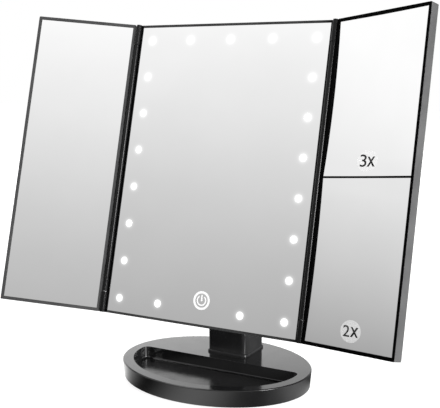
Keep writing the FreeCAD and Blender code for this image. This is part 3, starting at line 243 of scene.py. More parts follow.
plasticRule = {
    "glossScale": 1.7,  # gloss drifts on a finer scale than colour
    "grainDetail": 2.0,
    "bump": 0.6,
    "ior": 1.5,
    "shine": 0.5,  # where a look gives none
    "coatRough": 0.06,
}


def makePlastic(name):
    look = plasticLooks[name]
    material, tree, shader = newMaterial(name)
    cloud = noise(tree, look["cloud"])
    wire(tree, tint(tree, cloud, look["dark"], look["light"]), shader.inputs["Base Color"])
    gloss = noise(tree, look["cloud"] * plasticRule["glossScale"])
    wire(tree, spread(tree, gloss, *look["rough"]), shader.inputs["Roughness"])
    bump = add(tree, "ShaderNodeBump", values={"Strength": plasticRule["bump"], "Distance": look["depth"]})
    wire(tree, noise(tree, look["grain"], plasticRule["grainDetail"]), bump.inputs["Height"])
    wire(tree, bump.outputs["Normal"], shader.inputs["Normal"])
    shader.inputs["IOR"].default_value = plasticRule["ior"]
    shader.inputs["Specular IOR Level"].default_value = look.get("shine", plasticRule["shine"])
    shader.inputs["Coat Weight"].default_value = look["coat"]
    shader.inputs["Coat Roughness"].default_value = plasticRule["coatRough"]
    return material


# metals: drawn or turned, the grain is stretched along one way
metalLooks = {
    "platedSteel": {"dark": (0.42, 0.42, 0.43), "light": (0.60, 0.60, 0.61), "rough": (0.22, 0.36)},
    "contactNickel": {"dark": (0.50, 0.48, 0.44), "light": (0.66, 0.64, 0.60), "rough": (0.2, 0.3)},
    "copperFoil": {"dark": (0.55, 0.30, 0.16), "light": (0.72, 0.42, 0.24), "rough": (0.25, 0.4)},
}
metalRule = {"streak": 700, "detail": 2.0, "stretch": (1.0, 1.0, 0.15), "cloud": 260}


def makeMetal(name):
    look = metalLooks[name]
    material, tree, shader = newMaterial(name)
    streak = noise(tree, metalRule["streak"], metalRule["detail"], metalRule["stretch"])
    wire(tree, tint(tree, streak, look["dark"], look["light"]), shader.inputs["Base Color"])
    cloud = noise(tree, metalRule["cloud"])
    wire(tree, spread(tree, cloud, *look["rough"]), shader.inputs["Roughness"])
    shader.inputs["Metallic"].default_value = 1.0
    return material


# silvered glass: a clean mirror with the faintest cloudiness
mirrorLook = {
    "dark": (0.945, 0.945, 0.945),
    "light": (0.965, 0.965, 0.965),
    "cloud": 18,
    "rough": (0.0, 0.003),
    "haze": 30,
}


def makeMirror(name):
    material, tree, shader = newMaterial(name)
    cloud = noise(tree, mirrorLook["cloud"])
    wire(tree, tint(tree, cloud, mirrorLook["dark"], mirrorLook["light"]), shader.inputs["Base Color"])
    haze = noise(tree, mirrorLook["haze"])
    wire(tree, spread(tree, haze, *mirrorLook["rough"]), shader.inputs["Roughness"])
    shader.inputs["Metallic"].default_value = 1.0
    return material, tree, shader


# lights in the centre glass
lightGrid = {
    "columns": 5,
    "rows": 8,
    "pitchX": 36.16 * mm,
    "pitchZ": 30.1286 * mm,
    "bottom": 11.05 * mm,
    "radius": 3.15 * mm,
    "proud": 0.03 * mm,
    "sides": 32,
    "face": 0.96,  # share of the radius at a window's front
    "halo": 1.0 * mm,
    "haloStrength": 0.20,
    "strength": (0.95, 0.84),  # middle and rim of a window
    "middle": 0.4,  # share of the radius
}
windowLook = {"dark": (0.24, 0.24, 0.24), "light": (0.30, 0.30, 0.30), "grain": 1500, "rough": 0.45}


def panelCoords(tree):
    # object coordinates turned into the upright frame of the centre glass
    coords = add(tree, "ShaderNodeTexCoord")
    mapping = add(tree, "ShaderNodeMapping", {"vector_type": "TEXTURE"})
    mapping.inputs["Location"].default_value = panelMatrix.to_translation()
    mapping.inputs["Rotation"].default_value = panelMatrix.to_euler()
    wire(tree, coords.outputs["Object"], mapping.inputs["Vector"])
    return axes(tree, mapping.outputs["Vector"])


def lampDistance(tree):
    # distance to the nearest crossing of the light grid, and the place in the grid
    x, _, z = panelCoords(tree)
    column = calc(tree, "DIVIDE", x, lightGrid["pitchX"])
    row = calc(tree, "DIVIDE", calc(tree, "SUBTRACT", z, lightGrid["bottom"]), lightGrid["pitchZ"])
    offX = calc(tree, "MULTIPLY", calc(tree, "PINGPONG", column, 0.5), lightGrid["pitchX"])
    offZ = calc(tree, "MULTIPLY", calc(tree, "PINGPONG", row, 0.5), lightGrid["pitchZ"])
    squares = calc(tree, "ADD", calc(tree, "POWER", offX, 2.0), calc(tree, "POWER", offZ, 2.0))
    return calc(tree, "SQRT", squares), column, row


def makeLitMirror():
    material, tree, shader = makeMirror("litMirror")
    distance, column, row = lampDistance(tree)
    side = calc(tree, "GREATER_THAN", calc(tree, "ABSOLUTE", column), lightGrid["columns"] / 2 - 1)
    top = calc(tree, "GREATER_THAN", row, lightGrid["rows"] - 1.5)
    bottom = calc(tree, "LESS_THAN", row, 0.5)
    offMiddle = calc(tree, "GREATER_THAN", calc(tree, "ABSOLUTE", column), 0.5)
    bottomLit = calc(tree, "MULTIPLY", bottom, offMiddle)
    border = calc(tree, "MAXIMUM", calc(tree, "MAXIMUM", side, top), bottomLit)
    past = calc(tree, "MAXIMUM", calc(tree, "SUBTRACT", distance, lightGrid["radius"]), 0.0)
    fade = calc(tree, "POWER", math.e, calc(tree, "DIVIDE", past, -lightGrid["halo"]))
    glow = calc(tree, "MULTIPLY", calc(tree, "MULTIPLY", fade, border), lightGrid["haloStrength"])
    shader.inputs["Emission Color"].default_value = white
    wire(tree, glow, shader.inputs["Emission Strength"])
    return material


def makeLampWindow():
    # frosted window lit from behind, a little hotter in its middle
    material, tree, shader = newMaterial("lampWindow")
    distance = lampDistance(tree)[0]
    radius = lightGrid["radius"]
    strength = spread(tree, distance, *lightGrid["strength"], lightGrid["middle"] * radius, radius)
    wire(tree, strength, shader.inputs["Emission Strength"])
    grain = noise(tree, windowLook["grain"])
    wire(tree, tint(tree, grain, windowLook["dark"], windowLook["light"]), shader.inputs["Base Color"])
    shader.inputs["Emission Color"].default_value = white
    shader.inputs["Roughness"].default_value = windowLook["rough"]
    return material


# inks, and frosted spots with a painted glow
inkLooks = {
    "numeralInk": {"dark": (0.008, 0.008, 0.008), "light": (0.016, 0.016, 0.016), "glow": 0.0, "alpha": 1.0},
    # painted light: the frosted spot glows though no lamp lights it
    "frostedSpotWithPaintedGlow": {"dark": (0.28, 0.28, 0.28), "light": (0.33, 0.33, 0.33), "glow": 0.84, "alpha": 0.13},
    "litMark": {"dark": (0.24, 0.24, 0.24), "light": (0.30, 0.30, 0.30), "glow": 0.80, "alpha": 1.0},
}
inkRule = {"grain": 1200, "rough": 0.5}


def makeInk(name):
    look = inkLooks[name]
    material, tree, shader = newMaterial(name)
    grain = noise(tree, inkRule["grain"])
    wire(tree, tint(tree, grain, look["dark"], look["light"]), shader.inputs["Base Color"])
    shader.inputs["Roughness"].default_value = inkRule["rough"]
    shader.inputs["Alpha"].default_value = look["alpha"]
    shader.inputs["Emission Color"].default_value = white
    shader.inputs["Emission Strength"].default_value = look["glow"]
    return material


finish = {name: makePlastic(name) for name in plasticLooks}
finish.update({name: makeMetal(name) for name in metalLooks})
finish.update({name: makeInk(name) for name in inkLooks})
finish["silveredGlass"] = makeMirror("silveredGlass")[0]
finish["litMirror"] = makeLitMirror()
finish["lampWindow"] = makeLampWindow()
finishOfSlot = {
    "gloss_black": "glossBlack",
    "satin_black": "satinBlack",
    "matte_black": "matteBlack",
    "silvered_glass": "silveredGlass",
    "led_white": "lampLens",
    "board": "solderResist",
    "electrode": "copperFoil",
    "steel": "platedSteel",
    "nylon": "naturalNylon",
    "contact_nickel": "contactNickel",
    "cell_jacket": "cellJacket",
    "rubber_black": "footRubber",
}
for node in bodyOf:
    slots = cad[node].data.materials
    slots.clear()
    slots.append(finish[finishOfSlot[slotOf[node]]])
print("stage: finishes made,", len(finish))


def link(name, mesh):
    piece = bpy.data.objects.new(name, mesh)
    scene.collection.objects.link(piece)
    return piece


def meshOf(shape, name):
    mesh = bpy.data.meshes.new(name)
    shape.to_mesh(mesh)
    shape.free()
    return mesh


def settle(piece):
    # modifiers become plain mesh, the object stays at the origin
    graph = bpy.context.evaluated_depsgraph_get()
    mesh = bpy.data.meshes.new_from_object(piece.evaluated_get(graph), depsgraph=graph)
    piece.modifiers.clear()
    piece.data = mesh
    return piece


# moulded pieces get their softened edges here: width in metres
softEdges = {
    "base_shell": 0.6 * mm,
    "base_plate": 0.2 * mm,
    "battery_door": 0.2 * mm,
    "neck": 0.3 * mm,
    "panel_frame": 0.16 * mm,
    "panel_rear_cover": 0.25 * mm,
    "left_wing_frame": 0.2 * mm,
    "right_wing_frame": 0.2 * mm,
    "left_wing_back": 0.25 * mm,
    "right_wing_back": 0.25 * mm,
    "tilt_bracket": 0.4 * mm,
    "rubber_feet": 0.3 * mm,
    "pivot_caps": 0.25 * mm,
    "centre_mirror": 0.12 * mm,
    "left_mirror": 0.12 * mm,
    "mirror_2x": 0.12 * mm,
    "mirror_3x": 0.12 * mm,
}
edgeRule = {
    "segments": 3,
    "angle": 35.0,  # degrees; sharper edges are softened
    "weld": 0.002 * mm,
    "flat": 0.3,  # degrees; flatter neighbours become one face
    "smooth": 40.0,  # degrees
    "profile": 0.5,  # a true round
    "upright": 0.99,  # how squarely a level face looks up
    "near": 0.2 * mm,
}
# edges round a level face that get a wider round of their own
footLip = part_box("neck")[0][2] + 2.0 * mm
wideRounds = {
    "base_shell": {"level": 4.6 * mm, "outer": False, "round": 1.5 * mm, "segments": 5},  # tray floor
    "neck": {"level": footLip, "outer": True, "round": 0.8 * mm, "segments": 4},
}
curvedPanes = ("mirror_2x", "mirror_3x")
leftRail = -82.45 * mm  # the centre frame is cut here, so that the front of its left rail can be painted near-black as painted shade


def roundWide(shape, rule):
    shape.normal_update()
    tops = set()
    for face in shape.faces:
        off = abs(face.calc_center_median().z - rule["level"])
        if face.normal.z > edgeRule["upright"] and off < edgeRule["near"]:
            tops.add(face)
    rim = []
    for edge in shape.edges:
        if sum(face in tops for face in edge.link_faces) == 1 and edge.is_convex == rule["outer"]:
            rim.append(edge)
    bmesh.ops.bevel(
        shape,
        geom=rim,
        offset=rule["round"],
        segments=rule["segments"],
        profile=edgeRule["profile"],
        affect="EDGES",
    )


def soften(node, width):
    piece = link(node + "_shape", cad[node].data.copy())
    shape = bmesh.new()
    shape.from_mesh(piece.data)
    bmesh.ops.remove_doubles(shape, verts=shape.verts, dist=edgeRule["weld"])
    if node not in curvedPanes:
        bmesh.ops.dissolve_limit(
            shape, angle_limit=math.radians(edgeRule["flat"]), verts=shape.verts, edges=shape.edges
        )
    if node in wideRounds:
        roundWide(shape, wideRounds[node])
    if node == "panel_frame":
        whole = shape.verts[:] + shape.edges[:] + shape.faces[:]
        bmesh.ops.bisect_plane(shape, geom=whole, plane_co=(leftRail, 0, 0), plane_no=(1, 0, 0))
    shape.to_mesh(piece.data)
    shape.free()
    piece.data.shade_smooth()
    piece.data.set_sharp_from_angle(angle=math.radians(edgeRule["smooth"]))
    bevel = piece.modifiers.new("edges", "BEVEL")
    bevel.width = width
    bevel.segments = edgeRule["segments"]
    bevel.limit_method = "ANGLE"
    bevel.angle_limit = math.radians(edgeRule["angle"])
    weight = piece.modifiers.new("flatFaces", "WEIGHTED_NORMAL")
    weight.keep_sharp = False
    settle(piece)
    piece.data.materials.clear()
    piece.data.materials.append(finish[finishOfSlot[slotOf[node]]])
    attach(piece, bodyOf[node])
    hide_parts(node)
    return piece


softened = {node: soften(node, width) for node, width in softEdges.items()}
softened["centre_mirror"].data.materials[0] = finish["litMirror"]
for node in ("panel_frame", "left_wing_frame", "right_wing_frame"):
    softened[node].data.materials[0] = finish["frameBlack"]
softened["neck"].data.materials[0] = finish["neckBlack"]

# faces with a finish of their own, and lips that get painted shade
faceRules = {
    "barrel": 2.0 * mm,  # from the hinge axis
    "knuckle": 2.35 * mm,
    "facing": 0.5,  # how squarely the rail faces the front
    "lipInset": 0.5 * mm,  # lips lie this far inside the wing's outline
    "lipBack": 0.5,  # faces turned back more than this aren't lips
    "level": 0.9,  # how upright the tray floor's faces stand
    "tray": (4 * mm, 6 * mm),  # height of the tray floor
}


def paintFaces(node, name, test):
    mesh = softened[node].data
    mesh.materials.append(finish[name])
    for face in mesh.polygons:
        if test(face):
            face.material_index = len(mesh.materials) - 1


def onHinge(face, reach):
    spots = [wingMatrix(side).inverted() @ face.center for side in (-1, 1)]
    return any(math.hypot(spot.x, spot.y) < reach for spot in spots)


def shadedLipTest(node, matrix):
    # front lips, inner walls and bar of a wing frame, without its outer sides and back: the faces that get painted
    # shade
    upright = matrix.inverted()
    turn = upright.to_3x3()
    spots = [upright @ vertex.co for vertex in softened[node].data.vertices]
    right = max(spot.x for spot in spots) - faceRules["lipInset"]
    low = min(spot.z for spot in spots) + faceRules["lipInset"]
    high = max(spot.z for spot in spots) - faceRules["lipInset"]

    def isShadedLip(face):
        spot = upright @ face.center
        ahead = (turn @ face.normal).y < faceRules["lipBack"]
        return face.material_index == 0 and ahead and spot.x < right and low < spot.z < high

    return isShadedLip


def onShadedLeftRail(face):
    ahead = (panelMatrix.to_3x3().inverted() @ face.normal).y < -faceRules["facing"]
    return ahead and face.center.x < leftRail and not onHinge(face, faceRules["knuckle"])


def onPanelHinge(face):
    return onHinge(face, faceRules["knuckle"]) or abs(face.center.x) > -leftRail


def onTray(face):
    low, high = faceRules["tray"]
    return face.normal.z > faceRules["level"] and low < face.center.z < high


paintFaces("base_shell", "trayBlack", onTray)
# hinge barrels and knuckles are polished by their turning
for node in ("left_wing_frame", "right_wing_frame"):
    paintFaces(node, "hingeBlack", lambda face: onHinge(face, faceRules["barrel"]))
paintFaces("panel_frame", "hingeBlack", onPanelHinge)
# painted shade: the lips round the magnifiers and the front of the left rail are painted near-black, while the
# same frame plastic on the left wing's lips stays grey
paintFaces("right_wing_frame", "paintedShadeBlack", shadedLipTest("right_wing_frame", wingMatrix(1)))
paintFaces("panel_frame", "paintedShadeBlack", onShadedLeftRail)
print("stage: edges softened on", len(softened), "pieces")


# geometry node trees: each puts its shape on every point
def newTree(name, sizes):
    tree = bpy.data.node_groups.new(name, "GeometryNodeTree")
    tree.interface.new_socket("Geometry", in_out="INPUT", socket_type="NodeSocketGeometry")
    tree.interface.new_socket("Geometry", in_out="OUTPUT", socket_type="NodeSocketGeometry")
    for label, value in sizes.items():
        socket = tree.interface.new_socket(label, in_out="INPUT", socket_type="NodeSocketFloat")
        socket.default_value = value
    tree.interface.new_socket("Finish", in_out="INPUT", socket_type="NodeSocketMaterial")
    return tree, add(tree, "NodeGroupInput"), add(tree, "NodeGroupOutput")


def shiftUp(tree, geometry, amount):
    # moves geometry along Z by the value of a socket
    place = add(tree, "ShaderNodeCombineXYZ")
    shift = add(tree, "GeometryNodeTransform")
    wire(tree, amount, place.inputs["Z"])
    wire(tree, geometry, shift.inputs["Geometry"])
    wire(tree, place.outputs["Vector"], shift.inputs["Translation"])
    return shift.outputs["Geometry"]


def finishTree(tree, given, result, geometry):
    # one copy on every point, made real and given its finish
    copies = add(tree, "GeometryNodeInstanceOnPoints")
    real = add(tree, "GeometryNodeRealizeInstances")
    paint = add(tree, "GeometryNodeSetMaterial")
    wire(tree, given.outputs["Geometry"], copies.inputs["Points"])
    wire(tree, geometry, copies.inputs["Instance"])
    wire(tree, copies.outputs["Instances"], real.inputs["Geometry"])
    wire(tree, real.outputs["Geometry"], paint.inputs["Geometry"])
    wire(tree, given.outputs["Finish"], paint.inputs["Material"])
    wire(tree, paint.outputs["Geometry"], result.inputs["Geometry"])
    return tree


def grow(name, tree, places, values, matrix):
    # runs the tree on a set of points and keeps the result as a plain mesh
    host = bpy.data.meshes.new(name)
    host.from_pydata([Vector(place) for place in places], [], [])
    piece = link(name, host)
    modifier = piece.modifiers.new("grow", "NODES")
    modifier.node_group = tree
    for socket in tree.interface.items_tree:
        if socket.in_out == "INPUT" and socket.name in values:
            modifier[socket.identifier] = values[socket.name]
    settle(piece)
    piece.data.transform(matrix)
    piece.data.update()
    return piece


# light windows in the centre glass
def lampWindowTree(sizes):
    # a shallow lens: a disc with a dropped rim
    tree, given, result = newTree("lampWindows", sizes)
    radius = given.outputs["Radius"]
    lens = add(tree, "GeometryNodeMeshCone", values={"Vertices": lightGrid["sides"]})
    wire(tree, radius, lens.inputs["Radius Bottom"])
    wire(tree, calc(tree, "MULTIPLY", radius, lightGrid["face"]), lens.inputs["Radius Top"])
    wire(tree, given.outputs["Height"], lens.inputs["Depth"])
    return finishTree(tree, given, result, lens.outputs["Mesh"])


def lampPlaces():
    middle = lightGrid["columns"] // 2
    places = []
    for row in range(lightGrid["rows"]):
        for column in range(-middle, middle + 1):
            onBorder = row in (0, lightGrid["rows"] - 1) or abs(column) == middle
            if onBorder and (row, column) != (0, 0):
                x = column * lightGrid["pitchX"]
                z = lightGrid["bottom"] + row * lightGrid["pitchZ"]
                places.append((x, z, 0))  # drawn flat, facing +Z
    return places


faceForward = Matrix.Rotation(math.pi / 2, 4, "X")  # flat drawing, +Z towards the viewer
windowSize = {"Radius": lightGrid["radius"], "Height": lightGrid["proud"]}
windows = grow(
    "lampWindows",
    lampWindowTree(windowSize),
    lampPlaces(),
    {**windowSize, "Finish": finish["lampWindow"]},
    panelMatrix @ faceForward,
)
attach(windows, "panel")
print("stage: light windows,", len(lampPlaces()))


# touch mark: a ring with a power sign in it
touchMark = {
    "centre": (2.5 * mm, 18.2 * mm),
    "ringOuter": 7.1 * mm,
    "ringWidth": 1.7 * mm,
    "signOuter": 4.1 * mm,
    "signWidth": 1.0 * mm,
    "signGap": 36.0,  # degrees from the top to each end
    "barWidth": 1.1 * mm,
    "barTop": 4.3 * mm,
    "barBottom": -0.6 * mm,
    "proud": 0.03 * mm,
    "steps": 72,
}


def flatBand(shape, outer, width, gap):
    # closed band round the centre, open at its top where there is a gap
    steps = touchMark["steps"]
    lift = Vector((0, 0, touchMark["proud"]))
    rings = []
    for index in range(steps + 1 if gap else steps):
        angle = math.radians(gap + (360 - 2 * gap) * index / steps)
        ray = Vector((math.sin(angle), math.cos(angle), 0))
        near, far = ray * (outer - width), ray * outer
        rings.append([shape.verts.new(spot) for spot in (near, far, far + lift, near + lift)])
    pairs = zip(rings, rings[1:]) if gap else zip(rings, rings[1:] + rings[:1])
    for first, second in pairs:
        for corner in range(4):
            following = (corner + 1) % 4
            shape.faces.new((first[corner], first[following], second[following], second[corner]))
    if gap:
        shape.faces.new(rings[0])
        shape.faces.new(list(reversed(rings[-1])))


def flatBar(shape, width, low, high):
    corners = [(-width / 2, low), (width / 2, low), (width / 2, high), (-width / 2, high)]
    under = [shape.verts.new((x, y, 0)) for x, y in corners]
    over = [shape.verts.new((x, y, touchMark["proud"])) for x, y in corners]
    shape.faces.new(list(reversed(under)))
    shape.faces.new(over)
    for index in range(4):
        following = (index + 1) % 4
        shape.faces.new((under[index], under[following], over[following], over[index]))


def makeTouchMark():
    shape = bmesh.new()
    mark = touchMark
    flatBand(shape, mark["ringOuter"], mark["ringWidth"], 0)
    flatBand(shape, mark["signOuter"], mark["signWidth"], mark["signGap"])
    flatBar(shape, mark["barWidth"], mark["barBottom"], mark["barTop"])
    bmesh.ops.recalc_face_normals(shape, faces=shape.faces)
    mesh = meshOf(shape, "touchMark")
    mesh.materials.append(finish["litMark"])
    mesh.transform(panelMatrix @ faceForward @ Matrix.Translation((*mark["centre"], 0)))
    piece = link("touchMark", mesh)
    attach(piece, "panel")


makeTouchMark()
print("stage: touch mark")


# magnification numerals on the two hollow panes of the right wing
numerals = {
    "2X": {
        "place": (45.6 * mm, 12.6 * mm), "curve": 2400 * mm, "low": 0.6 * mm, "high": 117.25 * mm,
        "digit": {"size": (5.8 * mm, 7.7 * mm), "shift": (-3.7 * mm, 0.0), "bolder": 0.006},
        "cross": {"size": (7.1 * mm, 6.7 * mm), "shift": (3.4 * mm, -0.2 * mm), "bolder": 0.040},
    },
    "3X": {
        "place": (43.8 * mm, 129.2 * mm), "curve": 1500 * mm, "low": 118.55 * mm, "high": 232.4 * mm,
        "digit": {"size": (5.9 * mm, 8.7 * mm), "shift": (-3.6 * mm, 0.25 * mm), "bolder": 0.004},
        "cross": {"size": (7.0 * mm, 7.0 * mm), "shift": (3.3 * mm, -0.5 * mm), "bolder": 0.040},
    },
}
numeralStyle = {
    "lean": -0.06,
    "curveSteps": 6,
    "weld": 0.0001 * mm,
    "ink": 0.03 * mm,
    "film": 0.02 * mm,
    "paneStart": 4.9 * mm,
    "paneEnd": 82.95 * mm,
    "spot": (9.1 * mm, 7.6 * mm),
    "spotSteps": 48,
}


def paneDepth(entry, x, z):
    # how far the hollow face lies behind the pane's rim
    middleX = (numeralStyle["paneStart"] + numeralStyle["paneEnd"]) / 2
    middleZ = (entry["low"] + entry["high"]) / 2
    corner = math.hypot(numeralStyle["paneEnd"] - middleX, entry["high"] - middleZ)
    reach = math.sqrt(entry["curve"] ** 2 - corner**2)
    away = math.hypot(x - middleX, z - middleZ)
    return math.sqrt(entry["curve"] ** 2 - away**2) - reach


def layOnPane(mesh, entry, lift, thickness):
    # flat drawing in x and y goes onto the hollow face as a thin closed film
    shape = bmesh.new()
    shape.from_mesh(mesh)
    bmesh.ops.remove_doubles(shape, verts=shape.verts, dist=numeralStyle["weld"])
    for vertex in shape.verts:
        x, z = vertex.co.x + entry["place"][0], vertex.co.y + entry["place"][1]
        vertex.co = (x, paneDepth(entry, x, z) - lift, z)
    grown = bmesh.ops.extrude_face_region(shape, geom=shape.faces[:])
    for vertex in (part for part in grown["geom"] if isinstance(part, bmesh.types.BMVert)):
        vertex.co.y -= thickness
    bmesh.ops.recalc_face_normals(shape, faces=shape.faces)
    shape.to_mesh(mesh)
    shape.free()
    mesh.transform(wingMatrix(1))


def drawGlyph(letter, style):
    # one letter as a flat mesh of the given size about its own place
    curve = bpy.data.curves.new("glyph" + letter, "FONT")
    curve.body = letter
    curve.offset = style["bolder"]
    curve.resolution_u = numeralStyle["curveSteps"]
    draft = link("draft" + letter, curve)
    graph = bpy.context.evaluated_depsgraph_get()
    mesh = bpy.data.meshes.new_from_object(draft.evaluated_get(graph))
    bpy.data.objects.remove(draft)
    xs = [vertex.co.x for vertex in mesh.vertices]
    ys = [vertex.co.y for vertex in mesh.vertices]
    width, height = style["size"]
    scale = Matrix.Diagonal((width / (max(xs) - min(xs)), height / (max(ys) - min(ys)), 1, 1))
    centre = Matrix.Translation((-(max(xs) + min(xs)) / 2, -(max(ys) + min(ys)) / 2, 0))
    lean = Matrix(((1, numeralStyle["lean"], 0, 0), (0, 1, 0, 0), (0, 0, 1, 0), (0, 0, 0, 1)))
    mesh.transform(lean @ Matrix.Translation((*style["shift"], 0)) @ scale @ centre)
    return mesh


def makeNumeral(text, entry):
    shape = bmesh.new()
    for letter, style in zip(text, (entry["digit"], entry["cross"])):
        shape.from_mesh(drawGlyph(letter, style))
    mesh = meshOf(shape, "numeral" + text)
    layOnPane(mesh, entry, numeralStyle["ink"] + numeralStyle["film"], numeralStyle["film"])
    mesh.materials.append(finish["numeralInk"])
    piece = link("numeral" + text, mesh)
    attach(piece, "right_wing")

    # frosted spot behind the numeral: real frosting, with a faint glow that is painted light
    spot = bmesh.new()
    bmesh.ops.create_circle(spot, cap_ends=True, segments=numeralStyle["spotSteps"], radius=1.0)
    mesh = meshOf(spot, "spot" + text)
    mesh.transform(Matrix.Diagonal((*numeralStyle["spot"], 1, 1)))
    layOnPane(mesh, entry, numeralStyle["film"], numeralStyle["film"] / 2)
    mesh.materials.append(finish["frostedSpotWithPaintedGlow"])
    piece = link("frostedSpotWithPaintedGlow" + text, mesh)
    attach(piece, "right_wing")


for text, entry in numerals.items():
    makeNumeral(text, entry)
print("stage: numerals")


# screws that show at the back and underneath
outOfBack = Matrix(((1, 0, 0, 0), (0, 0, 1, 0), (0, 1, 0, 0), (0, 0, 0, 1)))  # +Z to the panel's rear
screwSets = {
    "panel_screws": {
        "places": [(x * mm, z * mm, 8.9 * mm) for x in (-57, 57) for z in (24, 116.5, 209)],
        "length": 5.5 * mm,
        "matrix": panelMatrix @ outOfBack,
    },
    "bracket_screws": {
        "places": [(x * mm, z * mm, 13.5 * mm) for x in (-14, 14) for z in (97, 135)],
        "length": 5.0 * mm,
        "matrix": panelMatrix @ outOfBack,
    },
    "base_screws": {
        "places": [(x * mm, y * mm, -1.0 * mm) for x, y in ((-61.9, -14), (61.9, -14), (-24, -47), (24, -47))],
        "length": 7.5 * mm,
        "matrix": Matrix.Rotation(math.pi, 4, "X"),
    },
}
screwSize = {
    "Head Radius": 2.3 * mm,
    "Head Height": 0.7 * mm,
    "Shank Radius": 1.1 * mm,
    "Shank Length": 6.0 * mm,  # each set gives its own
    "Slot Width": 0.62 * mm,
}
screwShape = {
    "headSides": 28,
    "headTop": 0.78,  # share of the head's radius
    "slotLength": 1.15,  # share of the head's radius
    "slotLift": 0.9,  # share of the head's height
    "shankSides": 16,
}


def crossHeadTree(sizes):
    # pan-head screw with its head up: a cone cut off flat, a cross cut into it, and a shank
    tree, given, result = newTree("crossHeadScrews", sizes)
    radius, height = given.outputs["Head Radius"], given.outputs["Head Height"]
    width, length = given.outputs["Slot Width"], given.outputs["Shank Length"]
    head = add(tree, "GeometryNodeMeshCone", values={"Vertices": screwShape["headSides"]})
    wire(tree, radius, head.inputs["Radius Bottom"])
    wire(tree, calc(tree, "MULTIPLY", radius, screwShape["headTop"]), head.inputs["Radius Top"])
    wire(tree, height, head.inputs["Depth"])
    cut = add(tree, "GeometryNodeMeshBoolean", {"operation": "DIFFERENCE", "solver": "EXACT"})
    cut.inputs["Self Intersection"].default_value = True  # the arms cross each other
    wire(tree, head.outputs["Mesh"], cut.inputs["Mesh 1"])
    reach = calc(tree, "MULTIPLY", radius, screwShape["slotLength"])
    lift = calc(tree, "MULTIPLY", height, screwShape["slotLift"])
    for sides in ((reach, width, height), (width, reach, height)):
        arm = add(tree, "GeometryNodeMeshCube")
        size = add(tree, "ShaderNodeCombineXYZ")
        for axis, side in zip("XYZ", sides):
            wire(tree, side, size.inputs[axis])
        wire(tree, size.outputs["Vector"], arm.inputs["Size"])
        wire(tree, shiftUp(tree, arm.outputs["Mesh"], lift), cut.inputs["Mesh 2"])
    shank = add(tree, "GeometryNodeMeshCylinder", values={"Vertices": screwShape["shankSides"]})
    wire(tree, given.outputs["Shank Radius"], shank.inputs["Radius"])
    wire(tree, length, shank.inputs["Depth"])
    sunk = shiftUp(tree, shank.outputs["Mesh"], calc(tree, "MULTIPLY", length, -0.5))
    whole = add(tree, "GeometryNodeJoinGeometry")
    wire(tree, cut.outputs["Mesh"], whole.inputs["Geometry"])
    wire(tree, sunk, whole.inputs["Geometry"])
    return finishTree(tree, given, result, whole.outputs["Geometry"])


screwTree = crossHeadTree(screwSize)
for node, entry in screwSets.items():
    values = {**screwSize, "Shank Length": entry["length"], "Finish": finish["platedSteel"]}
    screws = grow(node + "_shape", screwTree, entry["places"], values, entry["matrix"])
    shape = bmesh.new()
    shape.from_mesh(screws.data)
    bmesh.ops.recalc_face_normals(shape, faces=shape.faces)
    shape.to_mesh(screws.data)
    shape.free()
    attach(screws, bodyOf[node])
    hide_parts(node)
print("stage: screws")


# grip ribs at the free edge of the battery door
doorGrip = {
    "ribs": 5,
    "step": 1.6 * mm,
    "first": 11.2 * mm,
    "length": 22 * mm,
    "radius": 0.45 * mm,
    "face": 1.05 * mm,
    "sides": 12,
}


def ribTree(sizes):
    # a round rib, lying along X
    tree, given, result = newTree("gripRibs", sizes)
    rib = add(tree, "GeometryNodeMeshCylinder", values={"Vertices": doorGrip["sides"]})
    wire(tree, given.outputs["Radius"], rib.inputs["Radius"])
    wire(tree, given.outputs["Length"], rib.inputs["Depth"])
    lie = add(tree, "GeometryNodeTransform", values={"Rotation": (0, math.pi / 2, 0)})
    wire(tree, rib.outputs["Mesh"], lie.inputs["Geometry"])
    return finishTree(tree, given, result, lie.outputs["Geometry"])


ribPlaces = []
for index in range(doorGrip["ribs"]):
    ribPlaces.append((0, doorGrip["first"] + index * doorGrip["step"], doorGrip["face"]))
ribSize = {"Length": doorGrip["length"], "Radius": doorGrip["radius"]}
ribs = grow(
    "doorGrip", ribTree(ribSize), ribPlaces, {**ribSize, "Finish": finish["matteBlack"]}, Matrix.Identity(4)
)
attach(ribs, "battery_door")
print("stage: door grip")


